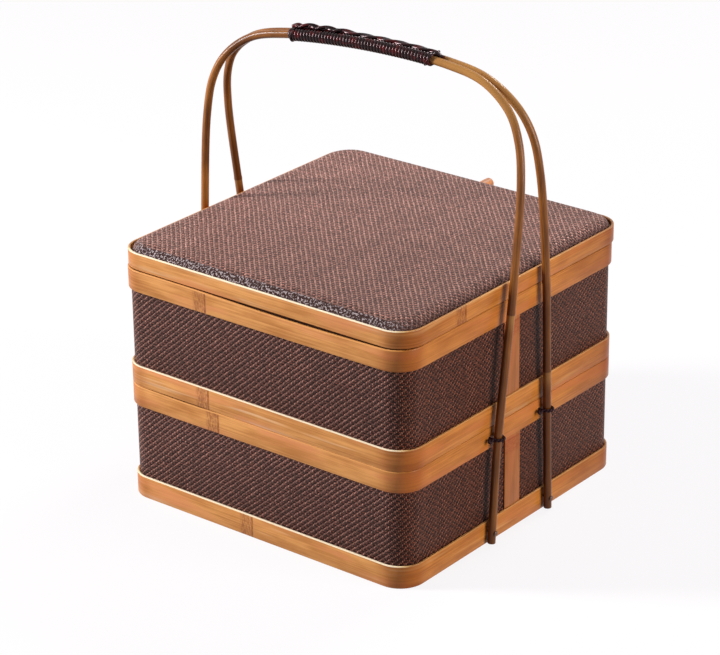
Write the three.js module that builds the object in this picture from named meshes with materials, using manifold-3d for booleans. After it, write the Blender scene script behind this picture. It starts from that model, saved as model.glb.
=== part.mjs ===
// A square two-tier bamboo basket with a lifting lid and a fixed arch handle.
// Units are millimetres, +Z is up, and the table is z = 0. The origin is the middle of the
// underside. The handle's legs stand outside the +X and -X walls, and its arch runs along X.

import * as THREE from 'three';
import { mergeVertices } from 'three/addons/utils/BufferGeometryUtils.js';
import Module from 'manifold-3d';

const wasm = await Module();
wasm.setup();

// Plan of the box
const SIDE = 220; // across the bent bamboo bands
const CORNER_R = 16.5; // outside of the bands at a corner
const CORNER_CURVE = 3; // an arc has twice as many flats
const BAND_T = 1.6; // thickness of a bent band
const EASED_EDGE = 0.4; // worn edge of bands, hoops and boards
const GLUE_GAP = 0.15; // between pieces that are glued face to face
const WEAVE_T = 1.8; // thickness of the woven wall

// Heights of the tiers
const TIER_H = 76.2; // one tier, from its lower edge to its rim
const FOOT_BAND_H = 14.6; // band round the bottom of the lower tier
const BASE_BAND_H = 13.2; // band round the bottom of the upper tier
const RIM_BAND_H = 13.6; // band round the top of each tier
const RIM_GAP = 0.5; // open line between a rim and what is stacked on it
const FLOOR_T = 3;

// Lip that each tier holds up into the piece above it
const LIP_T = 1.6;
const LIP_RISE = 6.5; // above the rim
const LIP_FIT = 0.3; // running clearance round the lip

// Upright slats on the handle's two walls
const SLAT_W = 15.6;
const SLAT_T = 1.0;
const LOWER_SLAT_ASIDE = -2.9; // middle of the slats from the middle of the wall
const UPPER_SLAT_ASIDE = -4.5;
const SLAT_CAMBER = 0.3; // the round of the culm that the slat was split from
const SLAT_END_GAP = 0.2;

// Lid
const LID_OVERHANG = 0.3; // lid band past the tier bands
const LID_BAND_H = 10.8;
const LID_BOARD_T = 2.5;
const LID_HOOP_T = 0.9; // thin hoop inside the lid band, loose round the lip
const LID_HOOP_EASE = 0.2;
const COVER_FIT = 0.3; // woven cover inside the lid band
const COVER_SKIRT = 2.4; // upright edge of the cover
const COVER_ROLL_W = 6; // rolled edge, inwards
const COVER_ROLL_H = 4.6; // rolled edge, upwards
const COVER_ROLL_STEPS = 4;
const COVER_CROWN = 1.1; // rise of the middle over the rolled edge
const COVER_CROWN_RINGS = 3;

// Peg at the back of the lid
const PEG_R = 3.5;
const PEG_LENGTH = 11.5; // outside the band
const PEG_DOWN = 3.8; // axis below the top of the lid band
const PEG_TIP_R = 1.6; // rounding of its end
const PEG_TENON_R = 1.8;
const PEG_FIT = 0.3;
const PEG_SIDES = 16;

// Handle: two rods, side by side at the top and spread at the feet
const ROD_R = 2.5;
const ROD_SIDES = 8;
const ROD_STEPS = 66;
const ROD_APART = 0.2; // between the rods where they run side by side
const CROWN_Z = 286.2; // centre of the rods at the middle of the arch
const FOOT_Z = 1; // cut ends, clear of the table
const FOOT_OFF = 3.1; // centre of a rod from the bands, at the foot
const TIE_OFF = 3.9; // the same at the tie
const BELLY_OFF = 5.9; // the same where the leg bows out most
const BELLY_Z = 160;
const FOOT_SPREAD = 29.4; // centre of a rod from the middle of the wall, at the foot
const TIE_SPREAD = 25.5;
const BELLY_SPREAD = 17.7;
const NECK_SPREAD = 10.6;
const NECK_IN = 2.2; // in from the belly
const NECK_DOWN = 61.2; // down from the crown
const HIP_SPREAD = 7.7;
const HIP_IN = 6.7;
const HIP_DOWN = 38.9;
const BEND_SPREAD = 4.8;
const BEND_IN = 15.6;
const BEND_DOWN = 23.2;
const SHOULDER_SPREAD = 3;
const SHOULDER_IN = 33.9;
const SHOULDER_DOWN = 9.5;
const FLANK_IN = 57.9; // beside the grip's end
const FLANK_DOWN = 3.5;
const ARCH_TWIST = THREE.MathUtils.degToRad(6.3); // hand-bent arch, turned about Z at its top
const ARCH_LEAN = 2.1; // and leaning towards -X there

// Rings of the thin whole culms that the rods are. Those under the grip are shaved flush.
const CULM_RINGS = { front: [147, 627], back: [95, 575] }; // along the rod, from its +X foot
const CULM_RISE = 0.2;
const CULM_RING_L = 3;
const CULM_SIDES = 16;

// Grip: cane wound round both rods, with a laced ridge on top
const GRIP_L = 112;
const WIND_LOOPS = 24;
const WIND_STEPS = 24; // in one loop
const WIND_T = 1.2;
const WIND_OPEN = 0.6; // between one turn and the next
const WIND_SEAT = 0.3; // between the rods and the winding
const LACING_W = 3.8;
const LACING_H = 2.2;
const LACING_SEAT = 0.3;
const LACING_SHORT = 3; // at each end of the grip
const LACING_SIDES = 8;

// Ties and pins of the four legs
const TIE_D = 1.8;
const TIE_FIT = 0.4; // round the rod and in its holes
const TIE_TAIL = 1.8; // cord past the inside of the lip
const TIE_SIDES = 8;
const TIE_STEPS = 20;
const HOLE_SIDES = 10;
const PIN_D = 1.6;
const PIN_FIT = 0.3;
const PIN_Z = 8;
const PIN_HEAD_D = 3.2;
const PIN_HEAD_T = 0.8;
const PIN_SEAT = 0.1; // head off the rod
const PIN_SIDES = 10;

// Places that follow from the sizes
const BAND_HALF = SIDE / 2;
const WALL_HALF = BAND_HALF - BAND_T - GLUE_GAP;
const WALL_INNER = WALL_HALF - WEAVE_T;
const LIP_HALF = WALL_INNER - LIP_FIT;
const LIP_INNER = LIP_HALF - LIP_T;
const UPPER_Z = TIER_H + RIM_GAP;
const LID_Z = UPPER_Z + TIER_H + RIM_GAP;
const SOCKET_H = LIP_RISE - RIM_GAP; // depth that a lip reaches into the piece above
const LID_HALF = BAND_HALF + LID_OVERHANG;
const LID_INNER = LID_HALF - BAND_T;
const LID_SOCKET = LID_INNER - GLUE_GAP - LID_HOOP_T;
const LID_SLIP = LID_SOCKET - LIP_HALF - LIP_FIT; // it lies back as far as its play lets it
const COVER_Z = LID_Z + SOCKET_H + LID_BOARD_T;
const SPREAD_TOP = ROD_R + ROD_APART / 2;
const TIE_Z = TIER_H - RIM_BAND_H / 2;

// Materials
const bamboo = material(0xc08a5a, 0.5);
const darkBamboo = material(0xb07444, 0.55);
const weave = material(0x5c3d36, 0.65);
const lidWeave = material(0x96736a, 0.65);
const board = material(0xa98a63, 0.75);
const rodSkin = material(0xa8713f, 0.45);
const cane = material(0x33181a, 0.25);
const cord = material(0x2c1c24, 0.7);

function material(color, roughness) {
  return new THREE.MeshStandardMaterial({ color, roughness, metalness: 0 });
}

// The corners of every hoop share one centre, so a hoop's corner radius follows its half width.
function cornerRadius(half) {
  return CORNER_R + half - BAND_HALF;
}

function roundedSquare(half, radius = cornerRadius(half), Outline = THREE.Shape) {
  const centre = half - radius;
  const outline = new Outline();
  outline.moveTo(-centre, -half);
  outline.absarc(centre, -centre, radius, -Math.PI / 2, 0);
  outline.absarc(centre, centre, radius, 0, Math.PI / 2);
  outline.absarc(-centre, centre, radius, Math.PI / 2, Math.PI);
  outline.absarc(-centre, -centre, radius, Math.PI, Math.PI * 1.5);
  outline.closePath();
  return outline;
}

// Extrudes an outline upwards from z, with its upper and lower edges eased.
function raise(shape, z, height, ease = EASED_EDGE) {
  const geometry = new THREE.ExtrudeGeometry(shape, {
    depth: height - 2 * ease,
    curveSegments: CORNER_CURVE,
    bevelEnabled: ease > 0,
    bevelThickness: ease,
    bevelSize: ease,
    bevelOffset: -ease,
    bevelSegments: 1,
  });
  return geometry.translate(0, 0, z + ease);
}

function hoop(outerHalf, thickness, z, height, ease = EASED_EDGE) {
  const shape = roundedSquare(outerHalf);
  shape.holes.push(roundedSquare(outerHalf - thickness, undefined, THREE.Path));
  return raise(shape, z, height, ease);
}

function panel(half, z, height) {
  return raise(roundedSquare(half), z, height);
}

// Booleans
function solidOf(geometry) {
  const bare = geometry.clone();
  bare.deleteAttribute('normal');
  bare.deleteAttribute('uv');
  const merged = mergeVertices(bare);
  const vertProperties = new Float32Array(merged.attributes.position.array);
  const triVerts = new Uint32Array(merged.index.array);
  return new wasm.Manifold(new wasm.Mesh({ numProp: 3, vertProperties, triVerts }));
}

function geometryOf(solid) {
  const mesh = solid.getMesh();
  const geometry = new THREE.BufferGeometry();
  geometry.setAttribute('position', new THREE.BufferAttribute(mesh.vertProperties, 3));
  geometry.setIndex(new THREE.BufferAttribute(mesh.triVerts, 1));
  return geometry;
}

function drilled(geometry, drills, additions = []) {
  let solid = solidOf(geometry);
  for (const addition of additions) {
    solid = solid.add(solidOf(addition));
  }
  for (const drill of drills) {
    solid = solid.subtract(solidOf(drill));
  }
  return geometryOf(solid);
}

// A drill that runs along X from one x to another.
function drillAlongX(fromX, toX, y, z, radius) {
  const length = Math.abs(toX - fromX);
  const drill = new THREE.CylinderGeometry(radius, radius, length, HOLE_SIDES);
  return drill.rotateZ(Math.PI / 2).translate((fromX + toX) / 2, y, z);
}

// Handle rods
const LEG_X = BAND_HALF + BELLY_OFF;
const halfArch = [
  { x: BAND_HALF + FOOT_OFF, spread: FOOT_SPREAD, z: FOOT_Z },
  { x: BAND_HALF + TIE_OFF, spread: TIE_SPREAD, z: TIE_Z },
  { x: LEG_X, spread: BELLY_SPREAD, z: BELLY_Z },
  { x: LEG_X - NECK_IN, spread: NECK_SPREAD, z: CROWN_Z - NECK_DOWN },
  { x: LEG_X - HIP_IN, spread: HIP_SPREAD, z: CROWN_Z - HIP_DOWN },
  { x: LEG_X - BEND_IN, spread: BEND_SPREAD, z: CROWN_Z - BEND_DOWN },
  { x: LEG_X - SHOULDER_IN, spread: SHOULDER_SPREAD, z: CROWN_Z - SHOULDER_DOWN },
  { x: LEG_X - FLANK_IN, spread: SPREAD_TOP, z: CROWN_Z - FLANK_DOWN },
];

// The hand-bent arch turns and leans more the higher it is.
function skewed(x, y, z) {
  const share = (z / CROWN_Z) ** 2;
  const turn = ARCH_TWIST * share;
  return new THREE.Vector3(
    x * Math.cos(turn) - y * Math.sin(turn) - ARCH_LEAN * share,
    x * Math.sin(turn) + y * Math.cos(turn),
    z,
  );
}

// side is -1 for the front rod and 1 for the back rod. The curve starts at the +X foot.
function rodCurve(side) {
  const right = halfArch.map((p) => skewed(p.x, side * p.spread, p.z));
  const middle = skewed(0, side * SPREAD_TOP, CROWN_Z);
  const left = halfArch.map((p) => skewed(-p.x, side * p.spread, p.z)).reverse();
  return new THREE.CatmullRomCurve3([...right, middle, ...left], false, 'centripetal');
}

const rodCurves = { front: rodCurve(-1), back: rodCurve(1) };

const LEG_SHARE = 0.4; // of the curve's parameter: it only climbs so far
const HALVINGS = 40;

// Where a rod's centre is at a height, on the leg beside the +X (1) or -X (-1) wall.
function legPoint(curve, wallSide, z) {
  let low = 0;
  let high = LEG_SHARE;
  for (let i = 0; i < HALVINGS; i += 1) {
    const middle = (low + high) / 2;
    const t = wallSide > 0 ? middle : 1 - middle;
    if (curve.getPoint(t).z < z) {
      low = middle;
    } else {
      high = middle;
    }
  }
  return curve.getPoint(wallSide > 0 ? low : 1 - low);
}

const legs = [
  { name: 'right_front', rod: 'front', wallSide: 1 },
  { name: 'right_back', rod: 'back', wallSide: 1 },
  { name: 'left_front', rod: 'front', wallSide: -1 },
  { name: 'left_back', rod: 'back', wallSide: -1 },
];
for (const leg of legs) {
  leg.atTie = legPoint(rodCurves[leg.rod], leg.wallSide, TIE_Z);
  leg.atPin = legPoint(rodCurves[leg.rod], leg.wallSide, PIN_Z);
}

function roundSection(radiusX, radiusY, sides) {
  const corners = [];
  for (let i = 0; i < sides; i += 1) {
    const angle = (2 * Math.PI * (i + 0.5)) / sides;
    corners.push(new THREE.Vector2(radiusX * Math.cos(angle), radiusY * Math.sin(angle)));
  }
  return new THREE.Shape(corners);
}

function along(curve, section, steps) {
  return new THREE.ExtrudeGeometry(section, { steps, extrudePath: curve, bevelEnabled: false });
}

function pinDrill(leg, pastRod) {
  const { x, y, z } = leg.atPin;
  const outer = x + leg.wallSide * (pastRod ? 2 * ROD_R : 0);
  return drillAlongX(leg.wallSide * (WALL_HALF - BAND_T), outer, y, z, PIN_D / 2 + PIN_FIT);
}

// A low swelling round the rod, at a distance along it.
function culmRing(curve, distance) {
  const share = distance / curve.getLength();
  const within = ROD_R * Math.cos(Math.PI / ROD_SIDES);
  const outline = [
    new THREE.Vector2(0, -CULM_RING_L / 2),
    new THREE.Vector2(within, -CULM_RING_L / 2),
    new THREE.Vector2(ROD_R + CULM_RISE, -CULM_RING_L / 6),
    new THREE.Vector2(ROD_R + CULM_RISE, CULM_RING_L / 6),
    new THREE.Vector2(within, CULM_RING_L / 2),
    new THREE.Vector2(0, CULM_RING_L / 2),
  ];
  const ring = new THREE.LatheGeometry(outline, CULM_SIDES);
  const upright = new THREE.Vector3(0, 1, 0);
  ring.applyQuaternion(new THREE.Quaternion().setFromUnitVectors(upright, curve.getTangentAt(share)));
  const { x, y, z } = curve.getPointAt(share);
  return ring.translate(x, y, z);
}

function rod(which) {
  const curve = rodCurves[which];
  const body = along(curve, roundSection(ROD_R, ROD_R, ROD_SIDES), ROD_STEPS);
  const drills = legs.filter((leg) => leg.rod === which).map((leg) => pinDrill(leg, true));
  return drilled(body, drills, CULM_RINGS[which].map((distance) => culmRing(curve, distance)));
}

// Ties: a cord passes round the rod, through the band, the wall and the lip, and ends inside.
const TIE_BEND_R = ROD_R + TIE_FIT + TIE_D / 2;

class TieLoop extends THREE.Curve {
  constructor(leg) {
    super();
    this.centre = leg.atTie;
    this.wallSide = leg.wallSide;
    this.run = Math.abs(leg.atTie.x) - (LIP_INNER - TIE_TAIL);
  }

  getPoint(t, target = new THREE.Vector3()) {
    const bend = Math.PI * TIE_BEND_R;
    const along = t * (2 * this.run + bend);
    const { x, y, z } = this.centre;
    if (along < this.run) {
      return target.set(x - this.wallSide * (this.run - along), y - TIE_BEND_R, z);
    }
    if (along > this.run + bend) {
      return target.set(x - this.wallSide * (along - this.run - bend), y + TIE_BEND_R, z);
    }
    const angle = (along - this.run) / TIE_BEND_R;
    const outwards = this.wallSide * TIE_BEND_R * Math.sin(angle);
    return target.set(x + outwards, y - TIE_BEND_R * Math.cos(angle), z);
  }
}

function tie(leg) {
  return along(new TieLoop(leg), roundSection(TIE_D / 2, TIE_D / 2, TIE_SIDES), TIE_STEPS);
}

function tieDrills() {
  const radius = TIE_D / 2 + TIE_FIT;
  const drills = [];
  for (const leg of legs) {
    const { x, y, z } = leg.atTie;
    for (const side of [-1, 1]) {
      const inner = leg.wallSide * (LIP_INNER - TIE_TAIL);
      drills.push(drillAlongX(inner, x, y + side * TIE_BEND_R, z, radius));
    }
  }
  return drills;
}

// A headed pin through the rod and the foot band, up to the woven wall.
function pin(leg) {
  const start = WALL_HALF + GLUE_GAP;
  const shank = Math.abs(leg.atPin.x) + ROD_R + PIN_SEAT - start;
  const outline = [
    new THREE.Vector2(0, 0),
    new THREE.Vector2(PIN_D / 2, 0),
    new THREE.Vector2(PIN_D / 2, shank),
    new THREE.Vector2(PIN_HEAD_D / 2, shank),
    new THREE.Vector2(PIN_HEAD_D / 2, shank + PIN_HEAD_T / 2),
    new THREE.Vector2(PIN_D / 2, shank + PIN_HEAD_T),
    new THREE.Vector2(0, shank + PIN_HEAD_T),
  ];
  const geometry = new THREE.LatheGeometry(outline, PIN_SIDES);
  geometry.rotateZ((-leg.wallSide * Math.PI) / 2);
  return geometry.translate(leg.wallSide * start, leg.atPin.y, leg.atPin.z);
}

// Grip: the middle line of both rods, with its tangent, its sideways and its upward direction.
const ARCH_LENGTH = (rodCurves.front.getLength() + rodCurves.back.getLength()) / 2;

function gripFrame(distance) {
  const u = 0.5 + distance / ARCH_LENGTH;
  const front = rodCurves.front.getPointAt(u);
  const back = rodCurves.back.getPointAt(u);
  const tangent = rodCurves.front.getTangentAt(u).add(rodCurves.back.getTangentAt(u)).normalize();
  const sideways = back.clone().sub(front);
  sideways.addScaledVector(tangent, -sideways.dot(tangent)).normalize();
  const up = new THREE.Vector3().crossVectors(sideways, tangent);
  return { centre: front.add(back).multiplyScalar(0.5), tangent, sideways, up };
}

// The outline round both rods: two half circles joined by straights. A share of 0 is the
// middle of its underside. Returns the place and the outward direction there.
function roundBothRods(share, radius) {
  const flat = SPREAD_TOP;
  const arc = Math.PI * radius;
  let along = (share - Math.floor(share)) * (4 * flat + 2 * arc);
  if (along < flat) {
    return { place: [along, -radius], out: [0, -1] };
  }
  along -= flat;
  if (along < arc) {
    const angle = along / radius - Math.PI / 2;
    const out = [Math.cos(angle), Math.sin(angle)];
    return { place: [flat + radius * out[0], radius * out[1]], out };
  }
  along -= arc;
  if (along < 2 * flat) {
    return { place: [flat - along, radius], out: [0, 1] };
  }
  along -= 2 * flat;
  if (along < arc) {
    const angle = along / radius + Math.PI / 2;
    const out = [Math.cos(angle), Math.sin(angle)];
    return { place: [-flat + radius * out[0], radius * out[1]], out };
  }
  along -= arc;
  return { place: [along - flat, -radius], out: [0, -1] };
}

const WIND_R = ROD_R + WIND_SEAT + WIND_T / 2; // middle of the cane from a rod's centre
const WIND_PITCH = GRIP_L / (WIND_LOOPS + 1);
const WIND_W = WIND_PITCH - WIND_OPEN;

function windingPoint(turns) {
  const distance = (turns - WIND_LOOPS / 2) * WIND_PITCH;
  const frame = gripFrame(distance);
  const { place, out } = roundBothRods(turns, WIND_R);
  const point = frame.centre.clone();
  point.addScaledVector(frame.sideways, place[0]).addScaledVector(frame.up, place[1]);
  const outward = frame.sideways.clone().multiplyScalar(out[0]).addScaledVector(frame.up, out[1]);
  return { point, outward };
}

// A flat strip's section, as six corners: [across, outwards].
const stripSection = [
  [WIND_W / 2, 0],
  [WIND_W / 3, WIND_T / 2],
  [-WIND_W / 3, WIND_T / 2],
  [-WIND_W / 2, 0],
  [-WIND_W / 3, -WIND_T / 2],
  [WIND_W / 3, -WIND_T / 2],
];

function stripRing(point, outward, forward) {
  const across = new THREE.Vector3().crossVectors(outward, forward).normalize();
  const off = new THREE.Vector3().crossVectors(forward, across).normalize();
  return stripSection.map(([a, b]) => point.clone().addScaledVector(across, a).addScaledVector(off, b));
}

// One unbroken strip. Each end runs straight on for one strip thickness.
function windingRings() {
  const count = WIND_LOOPS * WIND_STEPS;
  const stops = [];
  for (let i = 0; i <= count; i += 1) {
    stops.push(windingPoint(i / WIND_STEPS));
  }
  const rings = stops.map(({ point, outward }, i) => {
    const before = stops[Math.max(i - 1, 0)].point;
    const after = stops[Math.min(i + 1, count)].point;
    return stripRing(point, outward, after.clone().sub(before).normalize());
  });
  const runOn = (ring, towards) => {
    const step = ring[0].clone().sub(towards[0]).normalize().multiplyScalar(WIND_T);
    return ring.map((corner) => corner.clone().add(step));
  };
  rings.unshift(runOn(rings[0], rings[1]));
  rings.push(runOn(rings[rings.length - 1], rings[rings.length - 2]));
  return rings;
}

// Joins rings of equal count into one closed skin, with a flat cap on each end.
function skinOf(rings) {
  const sides = rings[0].length;
  const positions = rings.flat().flatMap((p) => [p.x, p.y, p.z]);
  const index = [];
  for (let r = 0; r + 1 < rings.length; r += 1) {
    for (let s = 0; s < sides; s += 1) {
      const a = r * sides + s;
      const b = r * sides + ((s + 1) % sides);
      index.push(a, b, b + sides, a, b + sides, a + sides);
    }
  }
  const last = (rings.length - 1) * sides;
  for (let s = 1; s + 1 < sides; s += 1) {
    index.push(0, s + 1, s);
    index.push(last, last + s, last + s + 1);
  }
  const geometry = new THREE.BufferGeometry();
  geometry.setAttribute('position', new THREE.Float32BufferAttribute(positions, 3));
  geometry.setIndex(index);
  return geometry;
}

// Least distance between corners of the strip that are more than half a turn apart.
function leastGap(rings) {
  let least = Infinity;
  for (let r = 0; r < rings.length; r += 1) {
    const furthest = Math.min(r + WIND_STEPS * 1.5, rings.length - 1);
    for (let other = r + WIND_STEPS / 2; other <= furthest; other += 1) {
      for (const a of rings[r]) {
        for (const b of rings[other]) {
          least = Math.min(least, a.distanceTo(b));
        }
      }
    }
  }
  return least;
}

function winding() {
  const rings = windingRings();
  console.log(`grip_winding: least gap to itself ${leastGap(rings).toFixed(2)} mm`);
  return skinOf(rings);
}

// The laced ridge lies on the winding, with one ring of corners over each of its turns.
function lacing() {
  const lift = WIND_R + WIND_T / 2 + LACING_SEAT + LACING_H / 2;
  const half = GRIP_L / 2 - LACING_SHORT;
  const corners = roundSection(LACING_W / 2, LACING_H / 2, LACING_SIDES).getPoints();
  const rings = [];
  for (let i = 0; i <= WIND_LOOPS; i += 1) {
    const { centre, sideways, up } = gripFrame(half - (2 * half * i) / WIND_LOOPS);
    const middle = centre.addScaledVector(up, lift);
    const place = (c) => middle.clone().addScaledVector(sideways, c.x).addScaledVector(up, c.y);
    rings.push(corners.map(place));
  }
  return skinOf(rings);
}

// Slat between two bands: flat against the weave, slightly round on its face.
function slat(wallSide, aside, fromZ, toZ) {
  const inner = WALL_HALF + GLUE_GAP;
  const edge = inner + SLAT_T - SLAT_CAMBER;
  const section = new THREE.Shape();
  section.moveTo(inner, -SLAT_W / 2);
  section.lineTo(edge, -SLAT_W / 2);
  section.quadraticCurveTo(edge + 2 * SLAT_CAMBER, 0, edge, SLAT_W / 2);
  section.lineTo(inner, SLAT_W / 2);
  section.closePath();
  const low = fromZ + SLAT_END_GAP;
  const geometry = raise(section, low, toZ - SLAT_END_GAP - low, 0);
  const turned = wallSide > 0 ? geometry : geometry.rotateZ(Math.PI);
  return turned.translate(0, aside, 0);
}

function named(name, geometry, surface) {
  const mesh = new THREE.Mesh(geometry, surface);
  mesh.name = name;
  return mesh;
}

// The walls, bands, lip and slats that both tiers have, in a group at the tier's lower edge.
function tier(prefix, z, lowBandName, lowBandH, fittings) {
  const group = new THREE.Group();
  group.position.z = z;
  const rimZ = TIER_H - RIM_BAND_H;
  const wall = hoop(WALL_HALF, WEAVE_T, 0, TIER_H, 0);
  const lowBand = hoop(BAND_HALF, BAND_T, 0, lowBandH);
  const rimBand = hoop(BAND_HALF, BAND_T, rimZ, RIM_BAND_H);
  const lip = hoop(LIP_HALF, LIP_T, rimZ, RIM_BAND_H + LIP_RISE);
  group.add(
    named(`${prefix}_wall`, drilled(wall, fittings.tieDrills), weave),
    named(`${prefix}_${lowBandName}`, drilled(lowBand, fittings.pinDrills), bamboo),
    named(`${prefix}_rim_band`, drilled(rimBand, fittings.tieDrills), bamboo),
    named(`${prefix}_lip`, drilled(lip, fittings.tieDrills), bamboo),
    named(`${prefix}_floor`, panel(WALL_INNER - GLUE_GAP, fittings.floorZ, FLOOR_T), board),
    named(`${prefix}_slat_right`, slat(1, fittings.slatAside, lowBandH, rimZ), darkBamboo),
    named(`${prefix}_slat_left`, slat(-1, fittings.slatAside, lowBandH, rimZ), darkBamboo),
  );
  return group;
}

function lowerTier() {
  const fittings = {
    tieDrills: tieDrills(),
    pinDrills: legs.map((leg) => pinDrill(leg, false)),
    floorZ: 0,
    slatAside: LOWER_SLAT_ASIDE,
  };
  return tier('lower', 0, 'foot_band', FOOT_BAND_H, fittings);
}

// The upper floor is raised, so that the lower tier's lip enters beneath it.
function upperTier() {
  const fittings = {
    tieDrills: [],
    pinDrills: [],
    floorZ: SOCKET_H,
    slatAside: UPPER_SLAT_ASIDE,
  };
  return tier('upper', UPPER_Z, 'base_band', BASE_BAND_H, fittings);
}

function handle() {
  const group = new THREE.Group();
  group.add(
    named('handle_rod_front', rod('front'), rodSkin),
    named('handle_rod_back', rod('back'), rodSkin),
    named('grip_winding', winding(), cane),
    named('grip_lacing', lacing(), cane),
  );
  for (const leg of legs) {
    group.add(named(`tie_${leg.name}`, tie(leg), cord));
    group.add(named(`pin_${leg.name}`, pin(leg), darkBamboo));
  }
  return group;
}

// One ring of the cover, with an equal count of corners whatever its size.
function coverRing(inset, rise) {
  const half = LID_INNER - COVER_FIT - inset;
  const radius = Math.max(cornerRadius(half), COVER_ROLL_W);
  const outline = roundedSquare(half, radius).getPoints(CORNER_CURVE).slice(0, -1);
  return outline.map((p) => new THREE.Vector3(p.x, p.y, rise));
}

// Upright edge, a quarter-round roll, then a shallow crown.
function cover() {
  const rings = [coverRing(0, 0)];
  for (let i = 0; i <= COVER_ROLL_STEPS; i += 1) {
    const angle = (Math.PI / 2) * (i / COVER_ROLL_STEPS);
    const inset = COVER_ROLL_W * (1 - Math.cos(angle));
    rings.push(coverRing(inset, COVER_SKIRT + COVER_ROLL_H * Math.sin(angle)));
  }
  const flat = LID_INNER - COVER_FIT - COVER_ROLL_W;
  for (let i = 1; i <= COVER_CROWN_RINGS; i += 1) {
    const share = i / (COVER_CROWN_RINGS + 1);
    const rise = COVER_SKIRT + COVER_ROLL_H + COVER_CROWN * (1 - (1 - share) ** 2);
    rings.push(coverRing(COVER_ROLL_W + share * flat, rise));
  }
  return skinOf(rings);
}

// Round peg with a tenon in the band and a rounded end, its axis along +Y.
function peg() {
  const shoulder = PEG_FIT;
  const outline = new THREE.Path();
  outline.moveTo(0, -BAND_T);
  outline.lineTo(PEG_TENON_R, -BAND_T);
  outline.lineTo(PEG_TENON_R, shoulder);
  outline.lineTo(PEG_R, shoulder);
  outline.lineTo(PEG_R, PEG_LENGTH - PEG_TIP_R);
  outline.absarc(PEG_R - PEG_TIP_R, PEG_LENGTH - PEG_TIP_R, PEG_TIP_R, 0, Math.PI / 2);
  outline.lineTo(0, PEG_LENGTH);
  const points = outline.getPoints(CORNER_CURVE);
  return new THREE.LatheGeometry(points, PEG_SIDES).translate(0, LID_HALF, LID_BAND_H - PEG_DOWN);
}

function pegDrill() {
  const radius = PEG_TENON_R + PEG_FIT;
  const drill = new THREE.CylinderGeometry(radius, radius, 4 * BAND_T, PEG_SIDES);
  return drill.translate(0, LID_HALF - BAND_T / 2, LID_BAND_H - PEG_DOWN);
}

function lid() {
  const group = new THREE.Group();
  group.position.set(0, LID_SLIP, LID_Z);
  const band = hoop(LID_HALF, BAND_T, 0, LID_BAND_H);
  const innerHoopHalf = LID_INNER - GLUE_GAP;
  const coverMesh = named('lid_cover', cover(), lidWeave);
  coverMesh.position.z = COVER_Z - LID_Z;
  group.add(
    named('lid_band', drilled(band, [pegDrill()]), bamboo),
    named('lid_hoop', hoop(innerHoopHalf, LID_HOOP_T, 0, SOCKET_H, LID_HOOP_EASE), bamboo),
    named('lid_board', panel(LID_INNER - GLUE_GAP, SOCKET_H, LID_BOARD_T), board),
    coverMesh,
    named('lid_peg', peg(), darkBamboo),
  );
  return group;
}

const basket = new THREE.Group();
basket.add(lowerTier(), handle(), upperTier(), lid());

export default basket;
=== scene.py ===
"""A square picnic basket in two woven tiers with a lid and an arched rod handle."""
import math

import bmesh
import bpy
from bpy.props import FloatProperty, FloatVectorProperty, IntProperty, PointerProperty
from mathutils import Matrix, Vector
from mathutils.kdtree import KDTree


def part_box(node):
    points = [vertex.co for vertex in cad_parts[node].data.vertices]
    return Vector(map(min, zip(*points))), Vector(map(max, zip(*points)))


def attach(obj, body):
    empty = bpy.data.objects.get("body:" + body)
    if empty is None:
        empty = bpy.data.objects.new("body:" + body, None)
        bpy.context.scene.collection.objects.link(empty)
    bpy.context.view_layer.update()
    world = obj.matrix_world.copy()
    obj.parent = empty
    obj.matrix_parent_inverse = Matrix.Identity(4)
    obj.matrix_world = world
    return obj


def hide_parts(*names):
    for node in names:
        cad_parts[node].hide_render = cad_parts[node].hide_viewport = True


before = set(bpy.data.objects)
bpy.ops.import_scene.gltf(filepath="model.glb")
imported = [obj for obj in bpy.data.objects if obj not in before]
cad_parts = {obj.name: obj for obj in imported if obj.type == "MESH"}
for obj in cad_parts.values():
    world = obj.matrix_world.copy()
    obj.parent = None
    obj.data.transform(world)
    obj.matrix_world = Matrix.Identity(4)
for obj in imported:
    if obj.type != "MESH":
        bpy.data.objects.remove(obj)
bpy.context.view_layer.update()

bl_info = {
    "name": "Tiered bamboo basket",
    "version": (1, 0, 0),
    "blender": (4, 5, 0),
    "location": "3D View > Sidebar > Basket",
    "description": "Models the woven tiers, bent bands, lid and rod handle of a picnic basket",
    "category": "Add Mesh",
}

MM = 0.001
TINY = 1e-6


def number(name, description, default, **kind):
    return FloatProperty(name=name, description=description, default=default, **kind)


def length(name, description, default):
    """A size in metres that the sidebar shows with its unit."""
    return number(name, description, default, unit="LENGTH", precision=5)


def whole(name, description, default, least):
    return IntProperty(name=name, description=description, default=default, min=least)


def colour(name, description, *default):
    return FloatVectorProperty(
        name=name, description=description, default=default, subtype="COLOR", size=3, min=0, max=1
    )


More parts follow.
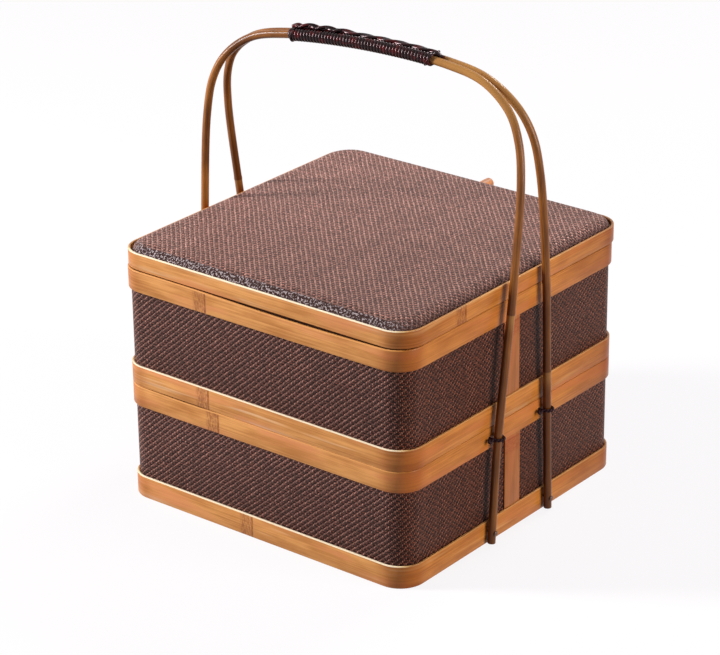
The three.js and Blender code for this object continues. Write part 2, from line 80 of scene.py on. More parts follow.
class BasketBody(bpy.types.PropertyGroup):
    """Sizes of the tiers and the lid that the frame does not give."""

    corner_radius: length("Corner radius", "Outer radius of the bands' corners", 16.5 * MM)
    corner_steps: whole("Corner steps", "Flats round one corner", 14, 4)
    wall: length("Wall", "Thickness of the woven walls", 1.8 * MM)
    band: length("Band", "Thickness of the bent bands", 1.6 * MM)
    lid_hoop: length("Lid hoop", "Thickness of the hoop inside the lid", 0.9 * MM)
    eased_edge: length("Eased edge", "Rounding of the bands' cut edges", 0.5 * MM)
    rim_dip: length("Rim dip", "Dip of the rim bands' top edge along the front", 1.1 * MM)
    wall_drop: length("Wall drop", "Distance of the woven walls' top edge under their rims", 2 * MM)
    strip_girth: length("Strip round the wall", "Width of an upright strip in the walls", 1.045 * MM)
    strip_rise: length("Strip up the wall", "Width of a level strip in the walls", 0.905 * MM)
    strip_lid_x: length("Lid strip in X", "Width of a strip that runs from front to back", 0.965 * MM)
    strip_lid_y: length("Lid strip in Y", "Width of a strip that runs from side to side", 1.046 * MM)
    lid_crown: length("Lid crown", "Rise of the lid's middle over its rolled edge", 1.8 * MM)
    lid_roll_width: length("Roll width", "Width of the lid's rolled edge", 8.5 * MM)
    lid_roll_height: length("Roll height", "Height of the lid's rolled edge", 5.8 * MM)
    lid_inset: length("Lid inset", "Distance of the woven lid from its solid's sides", 0.5 * MM)
    lid_cells: whole("Lid cells", "Faces across the woven lid", 150, 40)
    slat_camber: length("Slat camber", "Rise of a slat's face over its edges", 0.3 * MM)


class BasketHandle(bpy.types.PropertyGroup):
    """Sizes of the rods, the grip, the ties and the pins."""

    rod_radius: length("Rod radius", "Radius of a rod between its culm rings", 2.5 * MM)
    rod_sides: whole("Rod sides", "Half the faces round a rod", 7, 3)
    rod_points: whole("Rod points", "Places along one rod", 420, 60)
    culm_swell: number("Culm swell", "Rise of a culm ring, as a share of the radius", 0.07)
    twist: number("Twist", "Turn of the arch at its top", math.radians(6.3), subtype="ANGLE")
    lean: length("Lean", "Lean of the arch towards the left at its top", 2.1 * MM)
    grip_length: length("Grip length", "Length of the winding along the arch", 112 * MM)
    grip_start: length("Grip start", "Where the cane starts, from the grip's left end", 2.4 * MM)
    grip_bare: length("Grip bare", "Part of the grip at its right end without cane", 8.7 * MM)
    grip_turns: whole("Grip turns", "Turns of cane round the rods", 46, 10)
    cane_thickness: length("Cane thickness", "Thickness of the cane", 1.3 * MM)
    cane_outside: length("Cane outside", "Outside of the winding from a rod's centre", 4.0 * MM)
    lacing_radius: length("Lacing radius", "Radius of a lacing strand", 0.95 * MM)
    lacing_half: length("Lacing half width", "Swing of a lacing strand to each side", 1.7 * MM)
    lacing_repeat: length("Lacing repeat", "Length of one full crossing of the lacing", 24 * MM)
    lacing_short: length("Lacing short", "Distance of the lacing from the cane's start", 1.0 * MM)
    lacing_tip: length("Lacing tip", "Distance of the lacing from the grip's right end", 3.6 * MM)
    tie_ply: length("Tie ply", "Radius of one ply of a tie cord", 0.6 * MM)
    tie_lay: length("Tie lay", "Length of one twist of a tie cord", 4.2 * MM)


class BasketColours(bpy.types.PropertyGroup):
    """Colours of the finishes."""

    weave_gap: colour("Wall, gaps", "Gaps between the strips of the walls", 0.004, 0.0012, 0.001)
    weave_level: colour("Wall, level", "Level strips of the walls", 0.080, 0.022, 0.015)
    # The upright strips' pale colour is partly their own and partly painted sheen, which the walls
    # lose in part at the sides.
    weave_upright: colour("Wall, upright", "Upright strips of the walls", 0.29, 0.137, 0.108)
    # Painted light: the lid's colours are the walls' weave painted much brighter, standing in for the
    # stronger light from above.
    lid_gap: colour("Lid, gaps", "Gaps between the strips of the lid", 0.030, 0.007, 0.005)
    lid_level: colour("Lid, level", "Lid strips from side to side", 0.258, 0.118, 0.092)
    lid_upright: colour("Lid, upright", "Lid strips from front to back", 0.478, 0.269, 0.221)
    # Painted glints, not wear: pale specks along the lid's front edge.
    lid_glint: colour("Lid, flecks", "Worn strips along the lid's front edge", 0.62, 0.54, 0.56)
    band_light: colour("Band, light", "Light grain of the bent bands", 0.73, 0.335, 0.105)
    band_dark: colour("Band, dark", "Dark grain of the bent bands", 0.46, 0.175, 0.042)
    band_mark: colour("Band, mark", "Culm marks across the bands", 0.22, 0.058, 0.020)
    # Pale cut edges of the bands, with a painted highlight on them.
    cut_edge_and_highlight: colour("Cut edge", "Bare edges of the bands", 0.99, 0.83, 0.60)
    # Painted light and shade on the basket's sides, not a stain: the bands and slats turn deeper and
    # darker there.
    side_shading: colour("Side tone", "Deeper stain at the basket's sides", 0.90, 0.70, 0.40)
    # Painted shade, not a stain: the lips are near-black so that the gaps between the tiers look dark.
    lip_light: colour("Lip, light", "Light grain of the stained lips", 0.085, 0.032, 0.014)
    lip_dark: colour("Lip, dark", "Dark grain of the stained lips", 0.040, 0.014, 0.007)
    slat_mark: colour("Slat, mark", "Red culm mark near a slat's top", 0.36, 0.085, 0.028)
    slat_light: colour("Slat, light", "Light grain of the slats", 0.54, 0.235, 0.100)
    slat_dark: colour("Slat, dark", "Dark grain of the slats", 0.36, 0.135, 0.048)
    rod_light: colour("Rod, light", "Golden parts of the rods", 0.41, 0.148, 0.030)
    # Smoked tone of the rods; the same colour darkens them towards their feet and their right end, and
    # paints shade on the back rod at the left.
    rod_dark: colour("Rod, dark", "Smoked parts of the rods", 0.125, 0.036, 0.006)
    # Pale skin under a culm ring, and a painted highlight on the arch's right shoulder.
    rod_pale_and_highlight: colour("Rod, pale", "Pale skin under a culm ring", 0.62, 0.30, 0.085)
    rod_ring: colour("Rod, ring", "Culm rings and feet of the rods", 0.075, 0.024, 0.008)
    cane_dark: colour("Cane, dark", "Lacquered cane", 0.0045, 0.0008, 0.0012)
    cane_shine: colour("Cane, shine", "Tint of the lacquer's reflections", 0.9, 0.6, 0.64)
    cane_red: colour("Cane, red", "Lacquered cane where it shows red", 0.085, 0.004, 0.004)
    cord: colour("Tie cord", "Cord of the ties", 0.016, 0.004, 0.006)
    pin: colour("Pin", "Heads of the pins", 0.13, 0.045, 0.016)
    peg: colour("Peg", "Peg at the back of the lid", 0.72, 0.25, 0.07)
    board: colour("Board", "Floor boards", 0.52, 0.31, 0.14)
    floor: colour("Floor", "Studio floor", 0.97, 0.96, 0.97)
    bounce: colour("Bounce", "Light that the floor throws back", 0.21, 0.20, 0.20)


class BasketStage(bpy.types.PropertyGroup):
    """Camera and light."""

    lens: number("Lens", "Focal length in millimetres", 144.14)
    key: number("Key", "Power of the left front lamp in watts", 78)
    side: number("Side", "Power of the right back lamp in watts", 27)
    back: number("Back", "Power of the small lamp behind the basket in watts", 13)
    sky: number("Sky", "Strength of the white room", 0.06)


# Selecting and finishing

def deselect_all():
    bpy.ops.object.select_all(action="DESELECT")


def choose(piece):
    """Selects one piece and makes it the active one."""
    deselect_all()
    piece.select_set(True)
    bpy.context.view_layer.objects.active = piece


def new_piece(name):
    """Names the object that an operator has just added."""
    piece = bpy.context.object
    piece.name = name
    piece.data.name = name
    return piece


def settle(piece):
    """Puts the piece's place into its mesh."""
    choose(piece)
    bpy.ops.object.transform_apply(location=True, rotation=True, scale=True)
    return piece


def block(name, low, high):
    """A box between two corners."""
    deselect_all()
    bpy.ops.mesh.primitive_cube_add(size=1, location=(low + high) / 2, scale=high - low)
    return settle(new_piece(name))


def cylinder(name, sides, radius, depth, middle, turn):
    deselect_all()
    bpy.ops.mesh.primitive_cylinder_add(
        vertices=sides, radius=radius, depth=depth, location=middle, rotation=turn
    )
    return settle(new_piece(name))


def edit(piece):
    bpy.context.view_layer.objects.active = piece
    bpy.ops.object.mode_set(mode="EDIT")


def leave_edit():
    bpy.ops.object.mode_set(mode="OBJECT")


def pick(piece, kind, wanted):
    """In edit mode, selects only the edges or faces that wanted() is true for."""
    bpy.ops.mesh.select_mode(type=kind)
    bpy.ops.mesh.select_all(action="DESELECT")
    mesh = bmesh.from_edit_mesh(piece.data)
    mesh.normal_update()
    for part in mesh.edges if kind == "EDGE" else mesh.faces:
        if wanted(part):
            part.select_set(True)
    bmesh.update_edit_mesh(piece.data)


def reach_along(edge, axis):
    """How far an edge goes along X (0), Y (1) or Z (2)."""
    first, second = edge.verts
    return abs(first.co[axis] - second.co[axis])


def turn_outward():
    """In edit mode, turns all normals of a closed mesh outward."""
    bpy.ops.mesh.select_all(action="SELECT")
    bpy.ops.mesh.normals_make_consistent(inside=False)


def cap(piece):
    """Closes the open rims of a piece."""
    edit(piece)
    pick(piece, "EDGE", lambda edge: edge.is_boundary)
    bpy.ops.mesh.edge_face_add()
    turn_outward()
    leave_edit()


def apply_modifier(piece, modifier):
    bpy.context.view_layer.objects.active = piece
    bpy.ops.object.modifier_apply(modifier=modifier.name)


def ease_edges(piece, width, sharp=50):
    """Rounds the edges of a piece that turn by more than sharp degrees."""
    modifier = piece.modifiers.new("eased_edges", "BEVEL")
    modifier.width = width
    modifier.segments = 2
    modifier.limit_method = "ANGLE"
    modifier.angle_limit = math.radians(sharp)
    apply_modifier(piece, modifier)


def smooth(piece, degrees=35):
    choose(piece)
    bpy.ops.object.shade_smooth_by_angle(angle=math.radians(degrees))


def map_corners(mesh, name, places):
    """A UV map. places(points, indices) gives two values for each corner of a face."""
    layer = mesh.uv_layers.new(name=name)
    for face in mesh.polygons:
        points = [mesh.vertices[index].co for index in face.vertices]
        for loop, place in zip(face.loop_indices, places(points, face.vertices)):
            layer.data[loop].uv = place


def dress(piece, body, material, slot, *nodes):
    """Gives a finished piece its material and its body, and hides the nodes that it stands for."""
    piece.data.materials.clear()
    piece.data.materials.append(material)
    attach(piece, body)
    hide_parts(*nodes)


# Node trees

class Wire:
    """An output of a node. Arithmetic on wires adds the nodes that work it out."""

    def __init__(self, socket):
        self.socket = socket
        self.tree = socket.id_data

    def beside(self, output):
        """Another output of the same node."""
        return Wire(self.socket.node.outputs[output])

    def maths(self, operation, *others):
        return add(self.tree, "Math", dict(enumerate((self, *others))), operation=operation)

    def __add__(self, other):
        return self.maths("ADD", other)

    def __sub__(self, other):
        return self.maths("SUBTRACT", other)

    def __rsub__(self, other):
        return self.maths("MULTIPLY_ADD", -1, other)

    def __mul__(self, other):
        return self.maths("MULTIPLY", other)

    def __pow__(self, other):
        return self.maths("POWER", other)

    def __mod__(self, other):
        return self.maths("FLOORED_MODULO", other)

    def __abs__(self):
        return self.maths("ABSOLUTE")

    def mix(self, first, second):
        """The first number where the wire is 0 and the second where it is 1."""
        inputs = {"Factor": self, "A": first, "B": second}
        return add(self.tree, "Mix", inputs, data_type="FLOAT")

    def ramp(self, low, high):
        """0 where the wire is at low and 1 at high, smooth between them."""
        inputs = {"Value": self, "From Min": low, "From Max": high}
        return add(self.tree, "MapRange", inputs, interpolation_type="SMOOTHSTEP")


def plug(socket, value):
    """Links a wire to an input, or sets the input to a number, a vector or a colour."""
    if isinstance(value, Wire):
        value.tree.links.new(value.socket, socket)
    elif socket.type == "RGBA":
        socket.default_value = (*value, 1)
    else:
        socket.default_value = value


def add(tree, kind, inputs=None, output=0, **settings):
    """Adds a node and returns one of its outputs."""
    node = tree.nodes.new("ShaderNode" + kind)
    for name, value in settings.items():
        setattr(node, name, value)
    for name, value in (inputs or {}).items():
        plug(node.inputs[name], value)
    return Wire(node.outputs[output])


def blend(share, first, second, how="MIX"):
    """Mixes two colours. At least one of the three values is a wire."""
    tree = next(part.tree for part in (share, first, second) if isinstance(part, Wire))
    inputs = {0: share, 6: first, 7: second}
    return add(tree, "Mix", inputs, 2, data_type="RGBA", blend_type=how)


def stain(shown, tint, share=1.0):
    """Multiplies a colour by a tint, by a share of it."""
    return blend(share, shown, tint, "MULTIPLY")


def layered(shown, *layers):
    """Lays colours over each other. Each layer is where it lies, its share and its colour."""
    for zone, share, tone in layers:
        shown = blend(zone * share, shown, tone)
    return shown


def toned(tone, factor):
    return tuple(min(1.0, factor * part) for part in tone)


def parts(vector):
    """X, Y and Z of a vector."""
    x = add(vector.tree, "SeparateXYZ", {0: vector})
    return [x.beside(axis) for axis in range(3)]


def object_place(tree):
    return add(tree, "TexCoord", output="Object")


def own_map(tree, name):
    return add(tree, "UVMap", uv_map=name)


def attribute(tree, name):
    return add(tree, "Attribute", output="Fac", attribute_name=name)


def noise(place, scale, detail=3.0, roughness=0.5):
    """Noise with its own scale along each axis of a place."""
    stretched = add(place.tree, "Mapping", {"Vector": place, "Scale": scale})
    inputs = {"Vector": stretched, "Scale": 1.0, "Detail": detail, "Roughness": roughness}
    return add(place.tree, "TexNoise", inputs)


def relief(height, distance, strength=1.0):
    inputs = {"Height": height, "Distance": distance, "Strength": strength}
    return add(height.tree, "Bump", inputs)


def finish(name):
    """A new material. Returns it with its tree and its shader."""
    material = bpy.data.materials.new(name)
    material.use_nodes = True
    tree = material.node_tree
    return material, tree, tree.nodes["Principled BSDF"]


SHADER_INPUTS = {
    "colour": "Base Color",
    "rough": "Roughness",
    "normal": "Normal",
    "gloss": "Specular IOR Level",
    "shine": "Specular Tint",
    "coat": "Coat Weight",
    "coat_rough": "Coat Roughness",
}


def feed(shader, **inputs):
    for name, value in inputs.items():
        plug(shader.inputs[SHADER_INPUTS[name]], value)


# Finishes: woven strips

REPEAT = 4  # strips in one repeat of the twill: two over, two under
OTHER_SEED = 5000  # keeps the tones of level strips apart from those of upright ones


def twill(place):
    """A twill whose place is counted in strips, with ribs that rise towards the upper right.

    Returns its height, 1 on upright strips, 1 on every second strip, and random values for
    each strip and each crossing.
    """
    x, y, _ = parts(place)
    column = x.maths("FLOOR")
    row = y.maths("FLOOR")
    across = x.maths("FRACT")
    up = y.maths("FRACT")
    step = (column - row) % REPEAT
    upright = step.maths("LESS_THAN", 1.5)
    along = upright.mix(across + step - 2, up + 1 - step)
    aside = upright.mix(up, across)
    arch = 1 - abs(along - 1) ** 2.2
    rounded = 1 - abs(aside * 2 - 1) ** 3
    height = (arch * 0.92 + 0.08) * rounded
    odd = upright.mix(row, column) % 2
    strip = upright.mix(row + OTHER_SEED, column)
    cell = add(place.tree, "CombineXYZ", {0: column, 1: row})
    strip_tone = add(place.tree, "TexWhiteNoise", {"W": strip}, noise_dimensions="1D")
    cell_tone = add(place.tree, "TexWhiteNoise", {"Vector": cell}, noise_dimensions="2D")
    return height, upright, odd, strip_tone, cell_tone


# Mask for the painted light and shade on the basket's sides.
def sideways(tree):
    """0 on the front and the back of the basket and 1 on its sides."""
    x, y, _ = parts(object_place(tree))
    return (abs(x) - abs(y)).ramp(-12 * MM, 5 * MM)


def weave(tree, strips, rib, waver, fade):
    """Colour and height of fine woven strips with dark gaps.

    The strips waver by a number of strips. The pale ribs start between rib's two heights;
    they are partly the upright strips' own lighter colour and partly painted sheen, and
    the share fade of them is lost at the sides. Pale spots on the strips' crowns are
    partly wear and partly painted glints.
    """
    gap, level, upright = strips
    flat = own_map(tree, "weave")
    drift = add(tree, "TexNoise", {"Vector": flat, "Scale": 0.06, "Detail": 2.0}, "Color")
    off_middle = add(tree, "VectorMath", {0: drift, 1: (0.5, 0.5, 0.5)}, operation="SUBTRACT")
    inputs = {0: off_middle, 1: (waver, waver, waver), 2: flat}
    place = add(tree, "VectorMath", inputs, operation="MULTIPLY_ADD")
    height, on_upright, odd, strip_tone, cell_tone = twill(place)
    # Painted sheen: the pale ribs lose the share fade at the basket's sides, where the light does not
    # catch them.
    ridge = on_upright * height.ramp(*rib) * (1 - sideways(tree) * fade)
    pair_tone = (odd - 0.5) * on_upright.mix(1.2, 0.35) + 1
    cloud = noise(flat, (0.03, 0.03, 1), 2.0) * 0.3 + 0.85
    shade = (strip_tone * 0.3 + 0.85) * (cell_tone * 1.1 + 0.45) * cloud * pair_tone
    strip = stain(blend(ridge, level, upright), shade)
    shown = blend(height.ramp(0.12, 0.6), gap, strip)
    # Pale spots on the strips' crowns: partly wear, partly painted glints.
    spots = noise(flat, (0.9, 0.9, 1), 1.0).ramp(0.64, 0.72)
    shown = blend(spots * height * 0.5, shown, toned(upright, 1.6))
    return shown, height


def feed_weave(shader, shown, height, gloss):
    rough = height * -0.2 + 0.55
    feed(shader, colour=shown, rough=rough, normal=relief(height, 0.35 * MM), gloss=gloss)


def woven_wall_finish(colours):
    """The walls' weave, with painted light on the basket's sides: warmer and brighter there."""
    material, tree, shader = finish("woven_wall")
    strips = (colours.weave_gap, colours.weave_level, colours.weave_upright)
    shown, height = weave(tree, strips, rib=(0.3, 0.75), waver=1.4, fade=0.5)
    # Painted light on the sides: the weave turns warmer there and about a fifth brighter.
    side = sideways(tree)
    warmer = stain(shown, colours.side_shading, side * 0.65)
    feed_weave(shader, stain(warmer, (1.19, 1.19, 1.19), side), height, 0.1)
    return material


def woven_lid_finish(colours):
    """The lid's weave: painted shade on its roll, painted glints along the front, painted light to the
    far corner.
    """
    material, tree, shader = finish("woven_lid")
    strips = (colours.lid_gap, colours.lid_level, colours.lid_upright)
    plain, height = weave(tree, strips, rib=(0.0, 0.3), waver=1.2, fade=0.0)
    # Painted shade on the rolled edge, which leans away from the light: the gap colour laid over the
    # weave, nearly fully along the front and by up to 0.6 elsewhere.
    rolled = attribute(tree, "rolled")
    front_zone = rolled.ramp(0.08, 0.24) * attribute(tree, "front")
    side_zone = rolled.ramp(0.15, 0.6) * 0.6
    dark = blend((front_zone * 0.94).maths("MAXIMUM", side_zone), plain, colours.lid_gap)
    # Painted glints: pale specks on the strips' crowns along the front of the roll.
    glint_spots = noise(own_map(tree, "weave"), (0.72, 0.72, 1), 1.0, 0.6).ramp(0.52, 0.58)
    glinted = layered(dark, (glint_spots * height.ramp(0.0, 0.3) * front_zone, 0.85, colours.lid_glint))
    # Painted light: the lid painted darker at its near corner and brighter towards the far corner.
    x, y, _ = parts(object_place(tree))
    far_corner_light = (y - x).ramp(-190 * MM, 190 * MM)
    tint = blend(far_corner_light, (0.82, 0.77, 0.76), (1.16, 1.11, 1.12))
    feed_weave(shader, stain(glinted, tint), height, 0.12)
    return material


# Finishes: bamboo, cane, cord and boards

CULM_SPACING = 0.41  # distance between the culm marks of a split band
CULM_RING = 4.6 * MM  # distance of the dark ring from the middle of its culm mark
# Darker, deeper bent corners: partly painted shade, partly bamboo darkened by bending it with heat.
BEND_TINT = (0.70, 0.56, 0.45)
# Painted shade towards the back of the basket.
FAR_SHADE = (0.66, 0.57, 0.52)
BLUSH_TINT = (0.93, 0.74, 0.95)


def culm_mark(run):
    """Signed distance in metres from the nearest culm mark of a split band."""
    turns = run * (1 / CULM_SPACING) + 0.5
    return (turns.maths("FRACT") - 0.5) * CULM_SPACING


def split_bamboo(name, side_shading, light, dark, mark, edge):
    """Split bamboo: grain, culm marks, pale cut edges with a painted highlight, and painted shade."""
    material, tree, shader = finish(name)
    grown = own_map(tree, "grain")
    fibres = noise(grown, (30, 3000, 1), 3.0, 0.6)
    streaks = noise(grown, (12, 900, 1), 3.0, 0.6)
    clouds = noise(grown, (26, 110, 1), 3.0, 0.55)
    blush = noise(grown, (15, 75, 1), 2.0).ramp(0.48, 0.68)
    hairs = noise(grown, (16, 4200, 1), 1.0).ramp(0.64, 0.74)
    # Pale streaks in the edge colour: partly wear, partly painted reflections of the varnish.
    wear_and_sheen = noise(grown, (11, 260, 1), 2.0).ramp(0.56, 0.74)
    mottle = noise(grown, (900, 260, 1), 4.0, 0.75).ramp(0.4, 0.62)
    grain = fibres * 0.45 + streaks * 0.55
    plain = blend((clouds * 0.42 + grain * 0.58).ramp(0.38, 0.62), dark, light)
    rosy = tuple(part * change for part, change in zip(light, BLUSH_TINT))

    off = culm_mark(parts(grown)[0])
    near = abs(off).ramp(6.2 * MM, 2.6 * MM)
    ring = abs(off - CULM_RING).ramp(1.0 * MM, 0.2 * MM)
    shown = layered(
        plain,
        (blush, 0.7, rosy),
        (hairs, 0.4, mark),
        (wear_and_sheen, 0.24, edge),
        (near * (mottle * 0.62 + 0.12), 1, mark),
        (ring * (mottle * 0.5 + 0.5), 1, mark),
    )

    x, y, _ = parts(object_place(tree))
    bend = (abs(x) + abs(y)).ramp(196 * MM, 208 * MM)
    at_front = y.ramp(-100 * MM, -107 * MM)
    at_back = y.ramp(30 * MM, 100 * MM)
    facing_up = parts(add(tree, "NewGeometry", output="True Normal"))[2].ramp(0.12, 0.42)
    # The bent corners darker and deeper: partly painted shade where they turn from the lamps, partly
    # heat-bent bamboo.
    shown = stain(shown, BEND_TINT, bend * 0.8)
    # Pale top edges: the cut bamboo's own paler colour with a painted highlight, strongest along the
    # front.
    shown = blend(facing_up * (at_front * 0.72 + 0.28), shown, edge)
    # Painted shade: the bamboo darker towards the back.
    shown = stain(shown, FAR_SHADE, at_back * 0.9)
    # Painted shade on the basket's sides: the bamboo deeper and darker there.
    shown = stain(shown, side_shading, sideways(tree))
    normal = relief(grain + ring * 0.8, 0.05 * MM, 0.6)
    feed(shader, colour=shown, rough=grain * 0.3 + 0.25, normal=normal)
    feed(shader, gloss=0.12, coat=0.15, coat_rough=0.14)
    return material


def whole_culm(colours):
    """Thin smoked bamboo rod with dark rings at its culm nodes, painted shade and a painted highlight.
    """
    material, tree, shader = finish("whole_culm")
    place = object_place(tree)
    x, y, z = parts(place)
    off = attribute(tree, "culm")
    from_foot = attribute(tree, "foot")
    streaks = noise(own_map(tree, "UVMap"), (22, 20, 1), 4.0, 0.6)
    # Smoke from noise, with painted shade that darkens the back rod.
    smoke_and_back_shade = noise(place, (35, 35, 14), 3.0, 0.6) - y.ramp(-8 * MM, 12 * MM) * 0.12
    grown = (smoke_and_back_shade * 0.6 + streaks * 0.4).ramp(0.38, 0.62)
    ring = abs(off).ramp(0.9 * MM, 0.3 * MM)
    below_ring = off.ramp(-14 * MM, -2 * MM) * off.ramp(0.3 * MM, -0.3 * MM)
    above_ring = off.ramp(22 * MM, 2 * MM) * off.ramp(-0.3 * MM, 0.3 * MM)
    cut_foot = from_foot.ramp(20 * MM, 2 * MM) * streaks.ramp(0.3, 0.6)
    # Painted highlight: the top of the arch's right shoulder painted pale.
    right_shoulder_highlight = x.ramp(10 * MM, 70 * MM) * z.ramp(246 * MM, 270 * MM)
    # Painted shade on the back rod at the arch's left.
    left_back = x.ramp(-50 * MM, -90 * MM) * y.ramp(-2 * MM, 8 * MM)
    shown = layered(
        blend(grown, colours.rod_dark, colours.rod_light),
        (below_ring, 0.6, colours.rod_pale_and_highlight),
        (above_ring, 0.75, colours.rod_dark),
        (ring, 0.7, colours.rod_ring),
        (cut_foot, 0.75, colours.rod_ring),
        (from_foot.ramp(190 * MM, 60 * MM), 0.4, colours.rod_dark),
        (right_shoulder_highlight, 0.7, colours.rod_pale_and_highlight),
        (left_back, 0.6, colours.rod_dark),
        (x.ramp(70 * MM, 100 * MM), 0.22, colours.rod_dark),
    )
    feed(shader, colour=shown, normal=relief(streaks + ring, 0.05 * MM, 0.7))
    feed(shader, rough=0.3, gloss=0.12, coat=0.2, coat_rough=0.14)
    return material


def lacquered_cane(colours):
    """Near-black cane that shows red where the lacquer is thin."""
    material, tree, shader = finish("lacquered_cane")
    place = object_place(tree)
    thin = noise(place, (160, 260, 260), 3.0, 0.6).ramp(0.46, 0.66)
    scratches = noise(place, (2400, 500, 500), 2.0)
    feed(shader, colour=blend(thin, colours.cane_dark, colours.cane_red))
    feed(shader, normal=relief(scratches, 0.01 * MM, 0.5))
    feed(shader, rough=0.1, gloss=0.32, shine=colours.cane_shine)
    return material


def cord_fibre(colours):
    """Dull fibres of the tie cord."""
    material, tree, shader = finish("cord_fibre")
    fibres = noise(own_map(tree, "UVMap"), (14, 60, 1), 3.0, 0.6)
    feed(shader, colour=blend(fibres.ramp(0.4, 0.8), colours.cord, toned(colours.cord, 2.2)))
    feed(shader, rough=0.6, gloss=0.12, normal=relief(fibres, 0.08 * MM))
    return material


def turned_wood(name, main, scale, rough):
    """Small wooden pieces, with grain along Y or X by their scale."""
    material, tree, shader = finish(name)
    grain = noise(object_place(tree), scale, 4.0, 0.6)
    feed(shader, colour=blend(grain.ramp(0.35, 0.65), toned(main, 0.55), main))
    feed(shader, rough=rough, coat=0.2, normal=relief(grain, 0.05 * MM, 0.6))
    return material


def floor_board(colours):
    """Plain board, with its grain along X."""
    material, tree, shader = finish("floor_board")
    place = object_place(tree)
    waves = {
        "Vector": add(tree, "Mapping", {"Vector": place, "Scale": (2.5, 26, 26)}),
        "Scale": 1.0,
        "Distortion": 3.5,
        "Detail": 3.0,
        "Detail Scale": 1.2,
    }
    rings = add(tree, "TexWave", waves, "Fac", bands_direction="Y")
    pores = noise(place, (60, 2200, 2200), 2.0)
    grain = (rings * 0.5 + pores * 0.5).ramp(0.25, 0.8)
    feed(shader, colour=blend(grain, toned(colours.board, 0.62), colours.board))
    feed(shader, rough=0.55, normal=relief(pores, 0.05 * MM, 0.5))
    return material


# Tiers: walls and bands

def corner_of(body, half):
    """Corner radius of a hoop, so that all hoops share their corners' centres."""
    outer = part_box("lower_foot_band")[1].x
    return body.corner_radius + half - outer


def quarter_turned(x, y, turns):
    for _ in range(turns):
        x, y = -y, x
    return x, y


def place_on_girth(x, y, half, corner):
    """How far round a hoop a point lies, from the right end of the back wall, by the left wall."""
    straight = half - corner
    side_length = 2 * straight + math.pi / 2 * corner
    for side, turns in enumerate((2, 1, 0, 3)):
        a, b = quarter_turned(x, y, turns)
        if b < 0 and -straight - TINY <= a <= straight + TINY and abs(b) >= straight - TINY:
            return side * side_length + a + straight
        if a > straight and b < -straight:
            angle = math.atan2(b + straight, a - straight) + math.pi / 2
            return side * side_length + 2 * straight + corner * angle
    raise ValueError("a point of the hoop lies inside its corners' centres")


def girth_length(half, corner):
    return 8 * (half - corner) + 2 * math.pi * corner


def map_girth(piece, name, half, corner, place):
    """A map of the piece unrolled. place(girth, height) gives the map's two values."""
    full = girth_length(half, corner)

    def unrolled(points, _):
        runs = [place_on_girth(point.x, point.y, half, corner) for point in points]
        if max(runs) - min(runs) > full / 2:
            runs = [run + full if run < full / 2 else run for run in runs]
        return [place(run, point.z) for run, point in zip(runs, points)]

    map_corners(piece.data, name, unrolled)


def hoop(name, body, half, low, high, thickness, ease):
    """A rounded square tube with its outside at half. Its top and bottom are cut square."""
    piece = block(name, Vector((-half, -half, low)), Vector((half, half, high)))
    edit(piece)
    pick(piece, "EDGE", lambda edge: reach_along(edge, 2) > TINY)
    bpy.ops.mesh.bevel(
        offset=corner_of(body, half),
        offset_type="OFFSET",
        segments=body.corner_steps,
        profile=0.5,
        affect="EDGES",
    )
    pick(piece, "FACE", lambda face: abs(face.normal.z) > 0.9)
    bpy.ops.mesh.delete(type="ONLY_FACE")
    leave_edit()
    wall = piece.modifiers.new("wall", "SOLIDIFY")
    wall.thickness = thickness
    wall.offset = -1
    wall.use_even_offset = True
    apply_modifier(piece, wall)
    ease_edges(piece, ease)
    smooth(piece)
    return piece


WALL_EASE = 0.3 * MM  # rounding of the woven walls' edges


def woven_wall(body, node):
    """One tier's woven wall, with a whole number of twill repeats round it."""
    low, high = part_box(node)
    half = high.x
    corner = corner_of(body, half)
    top = high.z - body.wall_drop
    piece = hoop("woven_" + node, body, half, low.z, top, body.wall, WALL_EASE)
    full = girth_length(half, corner)
    strips = REPEAT * round(full / (REPEAT * body.strip_girth))
    map_girth(piece, "weave", half, corner, lambda run, z: (run / full * strips, z / body.strip_rise))
    return piece


class BASKET_OT_walls(bpy.types.Operator):
    """Model the woven walls of both tiers"""

    bl_idname = "basket.walls"
    bl_label = "Woven Walls"

    def execute(self, context):
        material = woven_wall_finish(context.scene.basket_colours)
        for tier in ("lower", "upper"):
            piece = woven_wall(context.scene.basket_body, f"{tier}_wall")
            dress(piece, f"{tier}_tier", material, "woven_bamboo", f"{tier}_wall")
        return {"FINISHED"}


# How far round its band each front culm mark lies, in metres
MARK_PLACES = {
    "lower_foot_band": 0.5075,
    "lower_rim_band": 0.4828,
    "lower_lip": 0.260,
    "upper_base_band": 0.4754,
    "upper_rim_band": 0.4754,
    "upper_lip": 0.300,
    "lid_band": 0.6755,
    "lid_hoop": 0.220,
}
BAND_BODIES = {"lower": "lower_tier", "upper": "upper_tier", "lid": "lid"}
# Where the rim bands' top edges sink along the front: middle, half width and depth, as shares
DIPS = {"upper_rim_band": (0.25, 0.8, 1.0), "lower_rim_band": (-0.55, 0.4, 0.7)}
DIP_CUTS = 30
DIP_REACH = 1 * MM  # how far under the top edge points still sink
CLOSED_GAP = 0.35 * MM  # how far the upper tier's lowest band reaches into the gap under it


def dipped(piece, node, half, top, dip):
    """Lets the top edge of a rim band sink a little along the front."""
    middle, width, depth = DIPS[node]
    edit(piece)
    pick(piece, "EDGE", lambda edge: reach_along(edge, 0) > half)
    bpy.ops.mesh.subdivide(number_cuts=DIP_CUTS)
    leave_edit()
    for vertex in piece.data.vertices:
        share = (vertex.co.x / half - middle) / width
        if vertex.co.y < 0 and vertex.co.z > top - DIP_REACH and abs(share) < 1:
            vertex.co.z -= dip * depth * (1 - share * share) ** 2


